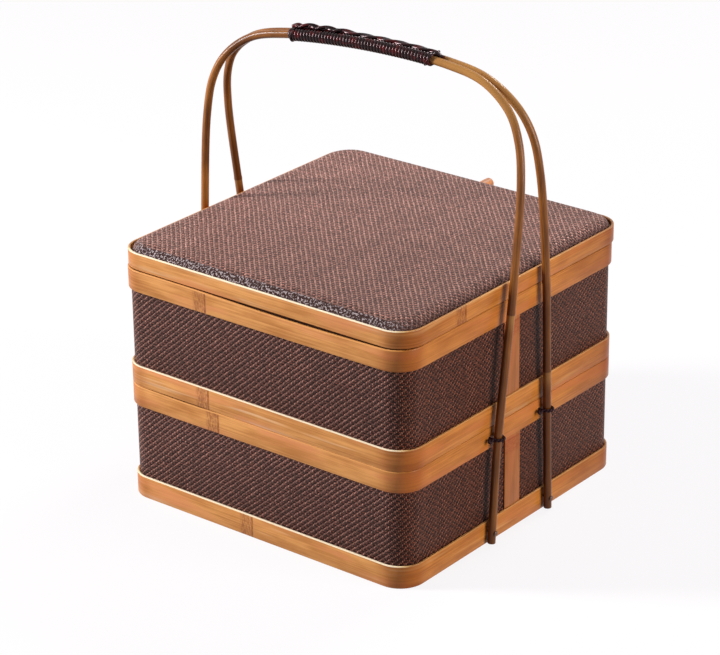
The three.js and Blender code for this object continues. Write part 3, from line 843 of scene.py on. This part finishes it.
def bent_band(body, node, mark_place):
    """A band, lip or hoop of bent bamboo, set where its node stands."""
    low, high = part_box(node)
    half = (high.x - low.x) / 2
    thickness = body.lid_hoop if node == "lid_hoop" else body.band
    bottom = low.z - CLOSED_GAP if node == "upper_base_band" else low.z
    piece = hoop("bent_" + node, body, half, bottom, high.z, thickness, body.eased_edge)
    if node in DIPS:
        dipped(piece, node, half, high.z, body.rim_dip)
    map_girth(piece, "grain", half, corner_of(body, half), lambda run, z: (run - mark_place, z))
    return set_over(piece, low, high)


def set_over(piece, low, high):
    """Moves a piece that was modelled round the middle to the middle of a box."""
    piece.location = ((low.x + high.x) / 2, (low.y + high.y) / 2, 0)
    return settle(piece)


class BASKET_OT_bands(bpy.types.Operator):
    """Model the bent bands, the lips and the lid's hoop"""

    bl_idname = "basket.bands"
    bl_label = "Bent Bands"

    def execute(self, context):
        colours = context.scene.basket_colours
        tone = colours.side_shading
        grain = (colours.band_light, colours.band_dark, colours.band_mark)
        skin = split_bamboo("split_bamboo", tone, *grain, colours.cut_edge_and_highlight)
        covered = split_bamboo("covered_rim", tone, *grain, colours.band_light)
        # Painted shade: the lips get near-black bamboo, so that the narrow gaps over them look dark.
        light, dark = colours.lip_light, colours.lip_dark
        stained = split_bamboo("stained_bamboo", tone, light, dark, dark, light)
        materials = {"lip": stained, "rim_band": covered}
        for node, mark_place in MARK_PLACES.items():
            piece = bent_band(context.scene.basket_body, node, mark_place)
            tier, _, kind = node.partition("_")
            dress(piece, BAND_BODIES[tier], materials.get(kind, skin), "bamboo_band", node)
        return {"FINISHED"}


# Slats and boards

SLAT_MARK_DROP = 7 * MM  # distance of a slat's culm mark from its top
SLAT_CUTS = 9
SLAT_EASE = 0.25 * MM


def cambered_slat(camber, node):
    """A slat between two bands, round on its outer face, with eased edges."""
    low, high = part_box(node)
    middle = (low + high) / 2
    outwards = math.copysign(1, middle.x)
    piece = block("split_" + node, low, high)
    edit(piece)
    pick(piece, "EDGE", lambda edge: reach_along(edge, 1) > TINY)
    bpy.ops.mesh.subdivide(number_cuts=SLAT_CUTS)
    leave_edit()
    for vertex in piece.data.vertices:
        if vertex.co.x * outwards > middle.x * outwards:
            share = (vertex.co.y - middle.y) / (high.y - middle.y)
            vertex.co.x -= outwards * camber * share * share
    ease_edges(piece, SLAT_EASE)
    smooth(piece)
    mark = high.z - SLAT_MARK_DROP
    map_corners(piece.data, "grain", lambda points, _: [(p.z - mark, p.y * outwards) for p in points])
    return piece


class BASKET_OT_slats(bpy.types.Operator):
    """Model the upright slats between the bands"""

    bl_idname = "basket.slats"
    bl_label = "Upright Slats"

    def execute(self, context):
        colours = context.scene.basket_colours
        light, dark, mark = colours.slat_light, colours.slat_dark, colours.slat_mark
        material = split_bamboo("slat_bamboo", colours.side_shading, light, dark, mark, light)
        for tier in ("lower", "upper"):
            for side in ("right", "left"):
                node = f"{tier}_slat_{side}"
                piece = cambered_slat(context.scene.basket_body.slat_camber, node)
                dress(piece, f"{tier}_tier", material, "bamboo_slat", node)
        return {"FINISHED"}


class BASKET_OT_boards(bpy.types.Operator):
    """Give the floor boards and the lid's board their grain"""

    bl_idname = "basket.boards"
    bl_label = "Floor Boards"

    def execute(self, context):
        material = floor_board(context.scene.basket_colours)
        for node in ("lower_floor", "upper_floor", "lid_board"):
            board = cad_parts[node]
            board.data.materials.clear()
            board.data.materials.append(material)
        return {"FINISHED"}


# Handle: route of the rods

# Half of the arch, from a foot to the crown: distance from the middle plane, spread, height
HALF_ARCH = (
    (113.1 * MM, 29.4 * MM, 1.0 * MM),
    (113.9 * MM, 25.5 * MM, 69.4 * MM),
    (115.9 * MM, 17.7 * MM, 160.0 * MM),
    (113.7 * MM, 10.6 * MM, 225.0 * MM),
    (109.2 * MM, 7.7 * MM, 247.3 * MM),
    (100.3 * MM, 4.8 * MM, 263.0 * MM),
    (82.0 * MM, 3.0 * MM, 276.7 * MM),
    (58.0 * MM, 2.6 * MM, 282.7 * MM),
)
CROWN_SPREAD = 2.6 * MM
CROWN_HEIGHT = 286.2 * MM
SPAN_STEPS = 40
# Places of the culm rings, as shares of each rod's length from its right foot
CULM_RINGS = {"front": (0.197, 0.841), "back": (0.127, 0.771)}
RING_WIDTH = 1.1 * MM
SIDES = {"front": -1, "back": 1}


def skewed(handle, x, y, z):
    """The hand-bent arch turns and leans more the higher it is."""
    share = (z / CROWN_HEIGHT) ** 2
    turn = handle.twist * share
    across = x * math.cos(turn) - y * math.sin(turn) - handle.lean * share
    return Vector((across, x * math.sin(turn) + y * math.cos(turn), z))


def span(before, start, end, after):
    """Points of a smooth curve from start to end, evenly bent between its neighbours."""
    pairs = ((before, start), (start, end), (end, after))
    first, middle, last = [max((b - a).length, TINY) ** 0.5 for a, b in pairs]
    leaving = (start - before) / first - (end - before) / (first + middle) + (end - start) / middle
    arriving = (end - start) / middle - (after - start) / (middle + last) + (after - end) / last
    for i in range(SPAN_STEPS):
        t = i / SPAN_STEPS
        square, cube = t * t, t * t * t
        yield (
            start * (2 * cube - 3 * square + 1)
            + leaving * middle * (cube - 2 * square + t)
            + end * (3 * square - 2 * cube)
            + arriving * middle * (cube - square)
        )


def arch_route(handle, which):
    """Close points along one rod's middle, from its right foot to its left foot."""
    side = SIDES[which]
    right = [skewed(handle, x, side * spread, z) for x, spread, z in HALF_ARCH]
    left = [skewed(handle, -x, side * spread, z) for x, spread, z in reversed(HALF_ARCH)]
    stops = [*right, skewed(handle, 0, side * CROWN_SPREAD, CROWN_HEIGHT), *left]
    ends = [2 * stops[0] - stops[1], *stops, 2 * stops[-1] - stops[-2]]
    route = []
    for i in range(len(stops) - 1):
        route.extend(span(*ends[i:i + 4]))
    route.append(stops[-1])
    return route


def route_length(route):
    return sum((b - a).length for a, b in zip(route, route[1:]))


def evenly(route, count, start=0.0, end=1.0):
    """count points at even distances along a route, between two shares of its length."""
    total = route_length(route)
    points = []
    run = 0.0
    piece = 0
    for i in range(count):
        distance = total * (start + (end - start) * i / (count - 1))
        gap = (route[piece + 1] - route[piece]).length
        while piece < len(route) - 2 and run + gap < distance:
            run += gap
            piece += 1
            gap = (route[piece + 1] - route[piece]).length
        points.append(route[piece].lerp(route[piece + 1], (distance - run) / gap))
    return points


def line_through(points, swell=None, closed=False):
    """A curve object through points, with an optional radius at each."""
    deselect_all()
    bpy.ops.curve.primitive_bezier_curve_add()
    line = bpy.context.object
    line.data.dimensions = "3D"
    line.data.splines.clear()
    spline = line.data.splines.new("POLY")
    spline.points.add(len(points) - 1)
    for i, point in enumerate(points):
        spline.points[i].co = (*point, 1)
        spline.points[i].radius = swell[i] if swell else 1
    spline.use_cyclic_u = closed
    return line


def drawn(name, points, radius, sides=5, swell=None, closed=False):
    """A round strand along points, drawn as a curve and turned into a closed mesh."""
    line = line_through(points, swell, closed)
    line.data.bevel_depth = radius
    line.data.bevel_resolution = sides - 2
    line.data.use_fill_caps = not closed
    bpy.ops.object.convert(target="MESH")
    piece = new_piece(name)
    edit(piece)
    bpy.ops.mesh.select_all(action="SELECT")
    bpy.ops.mesh.remove_doubles(threshold=TINY)
    turn_outward()
    leave_edit()
    smooth(piece, 50)
    return piece


def joined(name, pieces):
    """Several strands as one object."""
    choose(pieces[0])
    for piece in pieces:
        piece.select_set(True)
    bpy.ops.object.join()
    return new_piece(name)


def ring_offset(run, total, rings):
    """Distance along a rod to the nearest culm ring, positive on the side towards the crown."""
    nearest = min((run - total * ring for ring in rings), key=abs)
    return nearest if run < total / 2 else -nearest


def rod(handle, which):
    """A bent rod that swells at its culm rings and knows its distance to a ring and to a foot."""
    route = arch_route(handle, which)
    count = handle.rod_points
    points = evenly(route, count)
    total = route_length(route)
    runs = [total * i / (count - 1) for i in range(count)]
    offsets = [ring_offset(run, total, CULM_RINGS[which]) for run in runs]
    swell = [1 + handle.culm_swell * math.exp(-(offset / RING_WIDTH) ** 2) for offset in offsets]
    piece = drawn("rod_" + which, points, handle.rod_radius, handle.rod_sides, swell)
    middle = KDTree(count)
    for i, point in enumerate(points):
        middle.insert(point, i)
    middle.balance()
    culm = piece.data.attributes.new("culm", "FLOAT", "POINT")
    foot = piece.data.attributes.new("foot", "FLOAT", "POINT")
    for vertex in piece.data.vertices:
        nearest = middle.find(vertex.co)[1]
        culm.data[vertex.index].value = offsets[nearest]
        foot.data[vertex.index].value = min(runs[nearest], total - runs[nearest])
    return piece


class BASKET_OT_rods(bpy.types.Operator):
    """Model the two bent rods of the handle"""

    bl_idname = "basket.rods"
    bl_label = "Handle Rods"

    def execute(self, context):
        material = whole_culm(context.scene.basket_colours)
        for which in SIDES:
            piece = rod(context.scene.basket_handle, which)
            dress(piece, "lower_tier", material, "bamboo_rod", f"handle_rod_{which}")
        return {"FINISHED"}


# Grip

def grip_line(handle, count=60):
    """Points midway between both rods, over the length of the grip, from its left end."""
    routes = [arch_route(handle, which)[::-1] for which in SIDES]
    half_share = handle.grip_length / sum(route_length(route) for route in routes)
    rods = [evenly(route, count, 0.5 - half_share, 0.5 + half_share) for route in routes]
    return [(front + back) / 2 for front, back in zip(*rods)]


def bend_along(piece, points):
    """Bends a piece that was modelled along X so that it follows the points."""
    line = line_through(points)
    line.data.twist_mode = "Z_UP"
    bend = piece.modifiers.new("bend", "CURVE")
    bend.object = line
    bend.deform_axis = "POS_X"
    apply_modifier(piece, bend)
    deselect_all()
    line.select_set(True)
    bpy.ops.object.delete()
    smooth(piece, 60)
    return piece


def parted(y):
    """Moves a place round one rod out to a place round both."""
    return y + math.copysign(CROWN_SPREAD, y) if abs(y) > TINY else y


CANE_WIDTH = 1.04  # width of the flat cane, as a share of the distance between two turns
CANE_START = math.radians(7.5)  # where round the grip the cane starts, from its back
CANE_SIDES = 10
CANE_STEPS = 24  # steps in one turn


def wound_cane(handle):
    """Flat cane in close turns round both rods."""
    pitch = (handle.grip_length - handle.grip_start - handle.grip_bare) / (handle.grip_turns + 1)
    half = handle.cane_thickness / 2
    deselect_all()
    bpy.ops.mesh.primitive_circle_add(vertices=CANE_SIDES, radius=1)
    piece = new_piece("grip_cane")
    edit(piece)
    bpy.ops.transform.resize(value=(pitch * CANE_WIDTH / 2, half, 1))
    bpy.ops.transform.translate(value=(handle.grip_start + pitch / 2, handle.cane_outside - half, 0))
    bpy.ops.transform.rotate(value=CANE_START, orient_axis="X", center_override=(0, 0, 0))
    leave_edit()
    screw = piece.modifiers.new("turns", "SCREW")
    screw.axis = "X"
    screw.screw_offset = pitch
    screw.iterations = handle.grip_turns
    screw.steps = CANE_STEPS
    screw.render_steps = CANE_STEPS
    apply_modifier(piece, screw)
    for vertex in piece.data.vertices:
        vertex.co.y += CROWN_SPREAD if vertex.co.y > 0 else -CROWN_SPREAD
    cap(piece)
    return bend_along(piece, grip_line(handle))


LIVELY_LENGTH = 46 * MM  # part of the lacing that stands high, from its left end
LACING_TAPERS = (4 * MM, 8 * MM)  # lengths over which the lacing narrows to its ends
LACING_POINTS = 170
# Each end wrap's distance from its end of the cane, and how far it slants to each side
LEFT_WRAP = (3.2 * MM, 1.0 * MM)
RIGHT_WRAP = (2.6 * MM, 2.2 * MM)
WRAP_STRAND = 0.7  # radius of a wrap's strand, as a share of the lacing's
WRAP_SUNK = 0.15  # how far a wrap sinks into the cane, as a share of the same radius


def lacing_strand(handle, phase):
    """One strand of the laced ridge, crossing the other from side to side, over and under."""
    start = handle.grip_start + handle.lacing_short
    end = handle.grip_length - handle.lacing_tip
    wound_end = handle.grip_length - handle.grip_bare
    radius = handle.lacing_radius
    points = []
    for i in range(LACING_POINTS):
        x = start + (end - start) * i / (LACING_POINTS - 1)
        angle = 2 * math.pi * (x - start) / handle.lacing_repeat + phase
        lively = max(0.0, 1 - x / LIVELY_LENGTH) ** 0.4
        narrow = min(1.0, (x - start) / LACING_TAPERS[0], (end - x) / LACING_TAPERS[1])
        across = handle.lacing_half * narrow * (0.7 + 0.3 * lively) * math.sin(angle)
        base = handle.cane_outside + radius * (0.1 + 0.4 * lively)
        rise = radius * (0.4 * math.cos(angle) + 1.6 * lively * abs(math.cos(angle)))
        past_cane = min(1.0, max(0.0, (x - wound_end) / LACING_TAPERS[0]))
        drop = (handle.cane_outside - handle.rod_radius) * past_cane
        points.append(Vector((x, across, base + rise * narrow - drop)))
    return points


def lacing_core(handle, steps=40):
    """A straight strand under the crossings, which keeps the ridge closed."""
    height = handle.cane_outside + handle.lacing_radius * 0.2
    start = Vector((handle.grip_start + handle.lacing_short + 2 * MM, 0, height))
    end = Vector((handle.grip_length - handle.grip_bare, 0, height))
    return [start.lerp(end, i / steps) for i in range(steps + 1)]


def end_wrap(handle, middle, tilt, steps=48):
    """A strand that goes slantwise round the end of the grip."""
    radius = handle.cane_outside - handle.lacing_radius * WRAP_SUNK
    points = []
    for i in range(steps):
        angle = 2 * math.pi * i / steps
        along = middle + tilt * math.cos(angle)
        points.append(Vector((along, parted(radius * math.sin(angle)), radius * math.cos(angle))))
    return points


def laced_ridge(handle):
    """Two strands crossing along the top of the grip, with a slanting wrap at each end."""
    radius = handle.lacing_radius
    strands = [drawn("lacing_core", lacing_core(handle), radius)]
    for phase in (0.0, math.pi):
        strands.append(drawn("lacing_strand", lacing_strand(handle, phase), radius))
    left = handle.grip_start + LEFT_WRAP[0]
    right = handle.grip_length - handle.grip_bare - RIGHT_WRAP[0]
    for middle, tilt in ((left, LEFT_WRAP[1]), (right, RIGHT_WRAP[1])):
        points = end_wrap(handle, middle, tilt)
        strands.append(drawn("lacing_wrap", points, radius * WRAP_STRAND, closed=True))
    return bend_along(joined("grip_ridge", strands), grip_line(handle))


class BASKET_OT_grip(bpy.types.Operator):
    """Wind the grip with cane and lace its ridge"""

    bl_idname = "basket.grip"
    bl_label = "Wound Grip"

    def execute(self, context):
        handle = context.scene.basket_handle
        material = lacquered_cane(context.scene.basket_colours)
        dress(wound_cane(handle), "lower_tier", material, "wound_cane", "grip_winding")
        dress(laced_ridge(handle), "lower_tier", material, "wound_cane", "grip_lacing")
        return {"FINISHED"}


# Ties and pins

def at_a_leg(node):
    """A node's box, its middle, 1 or -1 for the wall it is on, and its outer and inner X."""
    low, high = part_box(node)
    side = 1 if high.x > 0 else -1
    outside, inside = (high.x, low.x) if side > 0 else (low.x, high.x)
    return low, high, (low + high) / 2, side, outside, inside


TIE_ROOM = 1.9  # from a tie's middle to the side of its box, in radii of a ply
PLY_SPREAD = 0.85  # from a tie's middle to that of a ply, in the same radii
KNOT_CORD = 1.5  # radius of the knot's cord, in the same radii


def tie_route(handle, node, count=90):
    """Round a rod from inside the tier and back, level with its holes."""
    low, high, middle, side, outside, inside = at_a_leg(node)
    room = (high.y - low.y) / 2
    bend = room - handle.tie_ply * TIE_ROOM
    centre = Vector((outside - side * room, middle.y, middle.z))
    run = abs(centre.x - inside)
    arc = math.pi * bend
    route = []
    for i in range(count):
        distance = (2 * run + arc) * i / (count - 1)
        if distance < run:
            offset = (-side * (run - distance), -bend, 0)
        elif distance > run + arc:
            offset = (-side * (distance - run - arc), bend, 0)
        else:
            angle = (distance - run) / bend
            offset = (side * bend * math.sin(angle), -bend * math.cos(angle), 0)
        route.append(centre + Vector(offset))
    return route


def ply(route, lay, radius, phase):
    """A strand that twists round a route."""
    points = []
    run = 0.0
    for i, point in enumerate(route):
        before = route[max(i - 1, 0)]
        after = route[min(i + 1, len(route) - 1)]
        run += (point - before).length
        along = (after - before).normalized()
        side = along.cross(Vector((0, 0, 1))).normalized()
        up = side.cross(along)
        angle = 2 * math.pi * run / lay + phase
        points.append(point + (side * math.cos(angle) + up * math.sin(angle)) * radius)
    return points


KNOT_WIDE = 1.9 * MM
KNOT_HALF = 0.6 * MM  # of its height and of its depth
KNOT_OUT = 2.6 * MM  # distance of the knot from the rim band
KNOT_SUNK = 0.3 * MM


def knot_loop(node, steps=64):
    """A small doubled loop of cord against the leg, on its front."""
    low, _, middle, side, _, _ = at_a_leg(node)
    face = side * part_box("lower_rim_band")[1].x
    points = []
    for i in range(steps):
        angle = 2 * math.pi * i / steps
        x = face + side * (KNOT_OUT + KNOT_HALF * math.cos(angle))
        y = low.y - KNOT_WIDE * (0.2 - math.sin(angle))
        z = middle.z - KNOT_SUNK + KNOT_HALF * math.sin(2 * angle)
        points.append(Vector((x, y, z)))
    return points


def twisted_tie(handle, node):
    """A cord of two plies, knotted beside the leg."""
    route = tie_route(handle, node)
    strands = []
    for phase in (0.0, math.pi):
        points = ply(route, handle.tie_lay, handle.tie_ply * PLY_SPREAD, phase)
        strands.append(drawn("tie_ply", points, handle.tie_ply))
    strands.append(drawn("tie_knot", knot_loop(node), handle.tie_ply * KNOT_CORD, closed=True))
    return joined("twisted_" + node, strands)


PIN_SIDES = 20
HEAD_DOME = 0.8  # rounding of a pin's head, as a share of its thickness


def headed_pin(node):
    """A small pin with a domed head outside the rod."""
    low, high, middle, side, outside, inside = at_a_leg(node)
    head = (high.y - low.y) / 2
    thickness = head / 2
    shank = abs(outside - inside) - thickness
    place = (outside - side * thickness / 2, middle.y, middle.z)
    piece = cylinder("headed_" + node, PIN_SIDES, head, thickness, place, (0, math.pi / 2, 0))
    edit(piece)
    pick(piece, "FACE", lambda face: face.normal.x * side > 0.9)
    bpy.ops.mesh.bevel(offset=thickness * HEAD_DOME, segments=4, affect="EDGES")
    pick(piece, "FACE", lambda face: face.normal.x * side < -0.9)
    bpy.ops.mesh.inset(thickness=head / 2)
    bpy.ops.mesh.extrude_region_move(TRANSFORM_OT_translate={"value": (-side * shank, 0, 0)})
    leave_edit()
    smooth(piece, 40)
    return piece


class BASKET_OT_ties(bpy.types.Operator):
    """Tie the four legs to the rim band and pin their feet"""

    bl_idname = "basket.ties"
    bl_label = "Ties and Pins"

    def execute(self, context):
        handle = context.scene.basket_handle
        colours = context.scene.basket_colours
        cord = cord_fibre(colours)
        wood = turned_wood("pin_wood", colours.pin, (900, 2500, 2500), 0.45)
        for leg in ("right_front", "right_back", "left_front", "left_back"):
            tie, pin = f"tie_{leg}", f"pin_{leg}"
            dress(twisted_tie(handle, tie), "lower_tier", cord, "tie_cord", tie)
            dress(headed_pin(pin), "lower_tier", wood, "bamboo_pin", pin)
        return {"FINISHED"}


# Lid

HEM = 1 * MM  # depth of the woven lid's edge under its roll, before it is brought down


def roll_arc(body):
    """Length of the cloth over the rolled edge."""
    return math.pi / 2 * (body.lid_roll_width + body.lid_roll_height) / 2


def roll_profile(body, half, run):
    """Half width and drop of the lid's cover at a distance from its middle along the cloth."""
    flat = half - body.lid_roll_width
    if run <= flat:
        return run, 0.0
    angle = min((run - flat) / roll_arc(body), 1.0) * math.pi / 2
    return flat + body.lid_roll_width * math.sin(angle), body.lid_roll_height * (1 - math.cos(angle))


def on_rounded_square(ring, corner, share):
    """A point on a rounded square's right side, a share of the way to its corners, and the way out."""
    straight = ring - corner
    along = share * (straight + corner * math.pi / 4)
    if abs(along) <= straight:
        return Vector((ring, along)), Vector((1, 0))
    angle = (abs(along) - straight) / corner
    out = Vector((math.cos(angle), math.copysign(math.sin(angle), along)))
    return Vector((straight, math.copysign(straight, along))) + corner * out, out


def rolled_out(ring, corner, x, y):
    """Where a point of a square cloth goes on a rounded square, and the way out there."""
    upright = abs(y) > abs(x)
    main, other = (y, x) if upright else (x, y)
    point, out = on_rounded_square(ring, corner, other / abs(main))
    flip = Vector((math.copysign(1, main), 1))
    point, out = point * flip, out * flip
    return (point.yx, out.yx) if upright else (point, out)


def woven_cover(body):
    """The woven lid: crowned in the middle, rolled down at its edge, closed underneath."""
    low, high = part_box("lid_cover")
    half = (high.x - low.x) / 2 - body.lid_inset
    corner = corner_of(body, half) + 2 * body.lid_inset
    cells = body.lid_cells
    size = 2 * (half - body.lid_roll_width + roll_arc(body))
    deselect_all()
    bpy.ops.mesh.primitive_grid_add(x_subdivisions=cells, y_subdivisions=cells, size=size)
    piece = new_piece("woven_lid_cover")
    mesh = piece.data
    # These two attributes tell the lid's finish where to paint shade on the roll and glints along its
    # front.
    rolled = mesh.attributes.new("rolled", "FLOAT", "POINT")
    front = mesh.attributes.new("front", "FLOAT", "POINT")
    cloth = []
    for vertex in mesh.vertices:
        x, y, _ = vertex.co
        run = max(abs(x), abs(y))
        if run < TINY:
            vertex.co.z = high.z
            cloth.append(Vector((0, 0)))
            continue
        ring, drop = roll_profile(body, half, run)
        point, out = rolled_out(ring, corner * ring / half, x, y)
        cloth.append(point + out * (run - ring))
        crown = body.lid_crown * (1 - (point.x / half) ** 2) * (1 - (point.y / half) ** 2)
        vertex.co = (*point, high.z - body.lid_crown + crown - drop)
        rolled.data[vertex.index].value = drop / body.lid_roll_height
        front.data[vertex.index].value = max(0.0, -out.y) ** 2
    wide, deep = body.strip_lid_x, body.strip_lid_y
    map_corners(mesh, "weave", lambda _, ids: [(-cloth[i].x / wide, cloth[i].y / deep) for i in ids])
    edit(piece)
    pick(piece, "EDGE", lambda edge: edge.is_boundary)
    bpy.ops.mesh.extrude_region_move(TRANSFORM_OT_translate={"value": (0, 0, -HEM)})
    leave_edit()
    bottom = min(vertex.co.z for vertex in mesh.vertices)
    for vertex in mesh.vertices:
        if vertex.co.z < bottom + HEM / 2:
            vertex.co.z = low.z
    cap(piece)
    smooth(set_over(piece, low, high), 60)
    return piece


PEG_SIDES = 32
PEG_ROUNDING = 1.7 * MM


def pull_peg():
    """The round peg at the back of the lid, rounded at its free end."""
    low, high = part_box("lid_peg")
    radius = (high.x - low.x) / 2
    along_y = (math.pi / 2, 0, 0)
    piece = cylinder("round_lid_peg", PEG_SIDES, radius, high.y - low.y, (low + high) / 2, along_y)
    edit(piece)
    pick(piece, "FACE", lambda face: face.normal.y > 0.9)
    bpy.ops.mesh.bevel(offset=PEG_ROUNDING, segments=6, affect="EDGES")
    leave_edit()
    smooth(piece, 40)
    return piece


class BASKET_OT_lid(bpy.types.Operator):
    """Model the woven lid and its peg"""

    bl_idname = "basket.lid"
    bl_label = "Lid and Peg"

    def execute(self, context):
        colours = context.scene.basket_colours
        cover = woven_cover(context.scene.basket_body)
        dress(cover, "lid", woven_lid_finish(colours), "woven_lid", "lid_cover")
        wood = turned_wood("peg_wood", colours.peg, (900, 70, 900), 0.4)
        dress(pull_peg(), "lid", wood, "bamboo_peg", "lid_peg")
        return {"FINISHED"}


# Stage

CAMERA_PLACE = Vector((1.0127, -1.2760, 0.8217))
CAMERA_RIGHT = Vector((0.7843, 0.6203, -0.0105))
CAMERA_UP = Vector((-0.2432, 0.3230, 0.9146))
CAMERA_SHIFT = (-0.0065, 0.00093)
# Each lamp's place, the point it faces, its width and height, and the name of its power
LAMPS = {
    "left_lamp": ((-1.58, -1.23, 0.97), (0, 0, 0.12), 0.3, 1.6, "key"),
    "right_lamp": ((1.75, 0.3, 0.6), (0, 0, 0.12), 1.0, 1.0, "side"),
    "back_lamp": ((0.1, 1.25, 1.4), (0, 0, 0.2), 0.4, 0.4, "back"),
}
FLOOR_GLOW = 0.86  # share of the floor's white that is its own light where it is seen directly
FLOOR_DROP = 0.05 * MM


def seen_directly(tree):
    """1 for rays from the camera and for those that a glossy or a clear surface sends on."""
    camera = add(tree, "LightPath", output="Is Camera Ray")
    glossy = camera.beside("Is Glossy Ray")
    sent_on = glossy.maths("MAXIMUM", camera.beside("Is Transmission Ray"))
    return camera.maths("MAXIMUM", sent_on)


def white_floor(colours):
    """A white floor that keeps a soft shadow."""
    material, tree, shader = finish("studio_floor")
    drift = noise(object_place(tree), (3, 3, 3), 2.0)
    faint = blend(drift, colours.floor, toned(colours.floor, 0.985))
    seen = seen_directly(tree)
    feed(shader, colour=blend(seen, colours.bounce, faint), rough=0.9, gloss=0.1)
    glow = add(tree, "Emission", {"Color": (1.0, 0.985, 1.0), "Strength": 1.0})
    lit = Wire(shader.outputs[0])
    both = add(tree, "MixShader", {0: seen * FLOOR_GLOW, 1: lit, 2: glow})
    plug(tree.nodes["Material Output"].inputs["Surface"], both)
    return material


def lamp(name, place, aim, width, height, power):
    """A soft lamp that faces a point."""
    turn = (Vector(aim) - Vector(place)).to_track_quat("-Z", "Y").to_euler()
    bpy.ops.object.light_add(type="AREA", location=place, rotation=turn)
    light = bpy.context.object
    light.name = name
    light.data.shape = "RECTANGLE"
    light.data.size = width
    light.data.size_y = height
    light.data.energy = power


def white_room(strength):
    """A room round the stage, white where the camera or a reflection sees it."""
    world = bpy.data.worlds.new("white_room")
    bpy.context.scene.world = world
    world.use_nodes = True
    back = world.node_tree.nodes["Background"]
    plug(back.inputs["Color"], (1, 1, 1))
    plug(back.inputs["Strength"], seen_directly(world.node_tree).mix(strength, 1.0))


def photo_camera(lens):
    """A camera where the photograph was taken from."""
    facing = Matrix((CAMERA_RIGHT, CAMERA_UP, CAMERA_RIGHT.cross(CAMERA_UP))).transposed()
    bpy.ops.object.camera_add(location=CAMERA_PLACE, rotation=facing.to_euler())
    camera = bpy.context.object
    camera.name = "photo_camera"
    camera.data.lens = lens
    camera.data.sensor_width = 36
    camera.data.shift_x, camera.data.shift_y = CAMERA_SHIFT
    camera.data.clip_end = 50
    bpy.context.scene.camera = camera


class BASKET_OT_stage(bpy.types.Operator):
    """Set the floor, the room, the lamps and the camera"""

    bl_idname = "basket.stage"
    bl_label = "Studio"

    def execute(self, context):
        stage = context.scene.basket_stage
        context.scene.view_settings.view_transform = "Standard"
        deselect_all()
        bpy.ops.mesh.primitive_plane_add(size=12, location=(0, 0, -FLOOR_DROP))
        floor = settle(new_piece("studio_floor"))
        floor.data.materials.append(white_floor(context.scene.basket_colours))
        white_room(stage.sky)
        for name, (*shape, power) in LAMPS.items():
            lamp(name, *shape, getattr(stage, power))
        photo_camera(stage.lens)
        return {"FINISHED"}


OPERATORS = (
    BASKET_OT_stage,
    BASKET_OT_walls,
    BASKET_OT_bands,
    BASKET_OT_slats,
    BASKET_OT_boards,
    BASKET_OT_rods,
    BASKET_OT_grip,
    BASKET_OT_ties,
    BASKET_OT_lid,
)
GROUPS = {
    "basket_body": BasketBody,
    "basket_handle": BasketHandle,
    "basket_colours": BasketColours,
    "basket_stage": BasketStage,
}


class BASKET_PT_panel(bpy.types.Panel):
    """Lists the basket's steps and sizes"""

    bl_idname = "BASKET_PT_panel"
    bl_label = "Tiered Basket"
    bl_space_type = "VIEW_3D"
    bl_region_type = "UI"
    bl_category = "Basket"

    def draw(self, context):
        for operator in OPERATORS:
            self.layout.operator(operator.bl_idname)
        for name, group in GROUPS.items():
            box = self.layout.box()
            for size in group.__annotations__:
                box.prop(getattr(context.scene, name), size)


CLASSES = (*GROUPS.values(), *OPERATORS, BASKET_PT_panel)


def register():
    for part in CLASSES:
        bpy.utils.register_class(part)
    for name, group in GROUPS.items():
        setattr(bpy.types.Scene, name, PointerProperty(type=group))


def unregister():
    for name in GROUPS:
        delattr(bpy.types.Scene, name)
    for part in reversed(CLASSES):
        bpy.utils.unregister_class(part)


def main():
    """Models the whole basket."""
    register()
    bpy.ops.basket.stage()
    bpy.ops.basket.walls()
    bpy.ops.basket.bands()
    bpy.ops.basket.slats()
    bpy.ops.basket.boards()
    bpy.ops.basket.rods()
    bpy.ops.basket.grip()
    bpy.ops.basket.ties()
    bpy.ops.basket.lid()
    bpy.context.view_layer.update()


if __name__ == "__main__":
    main()
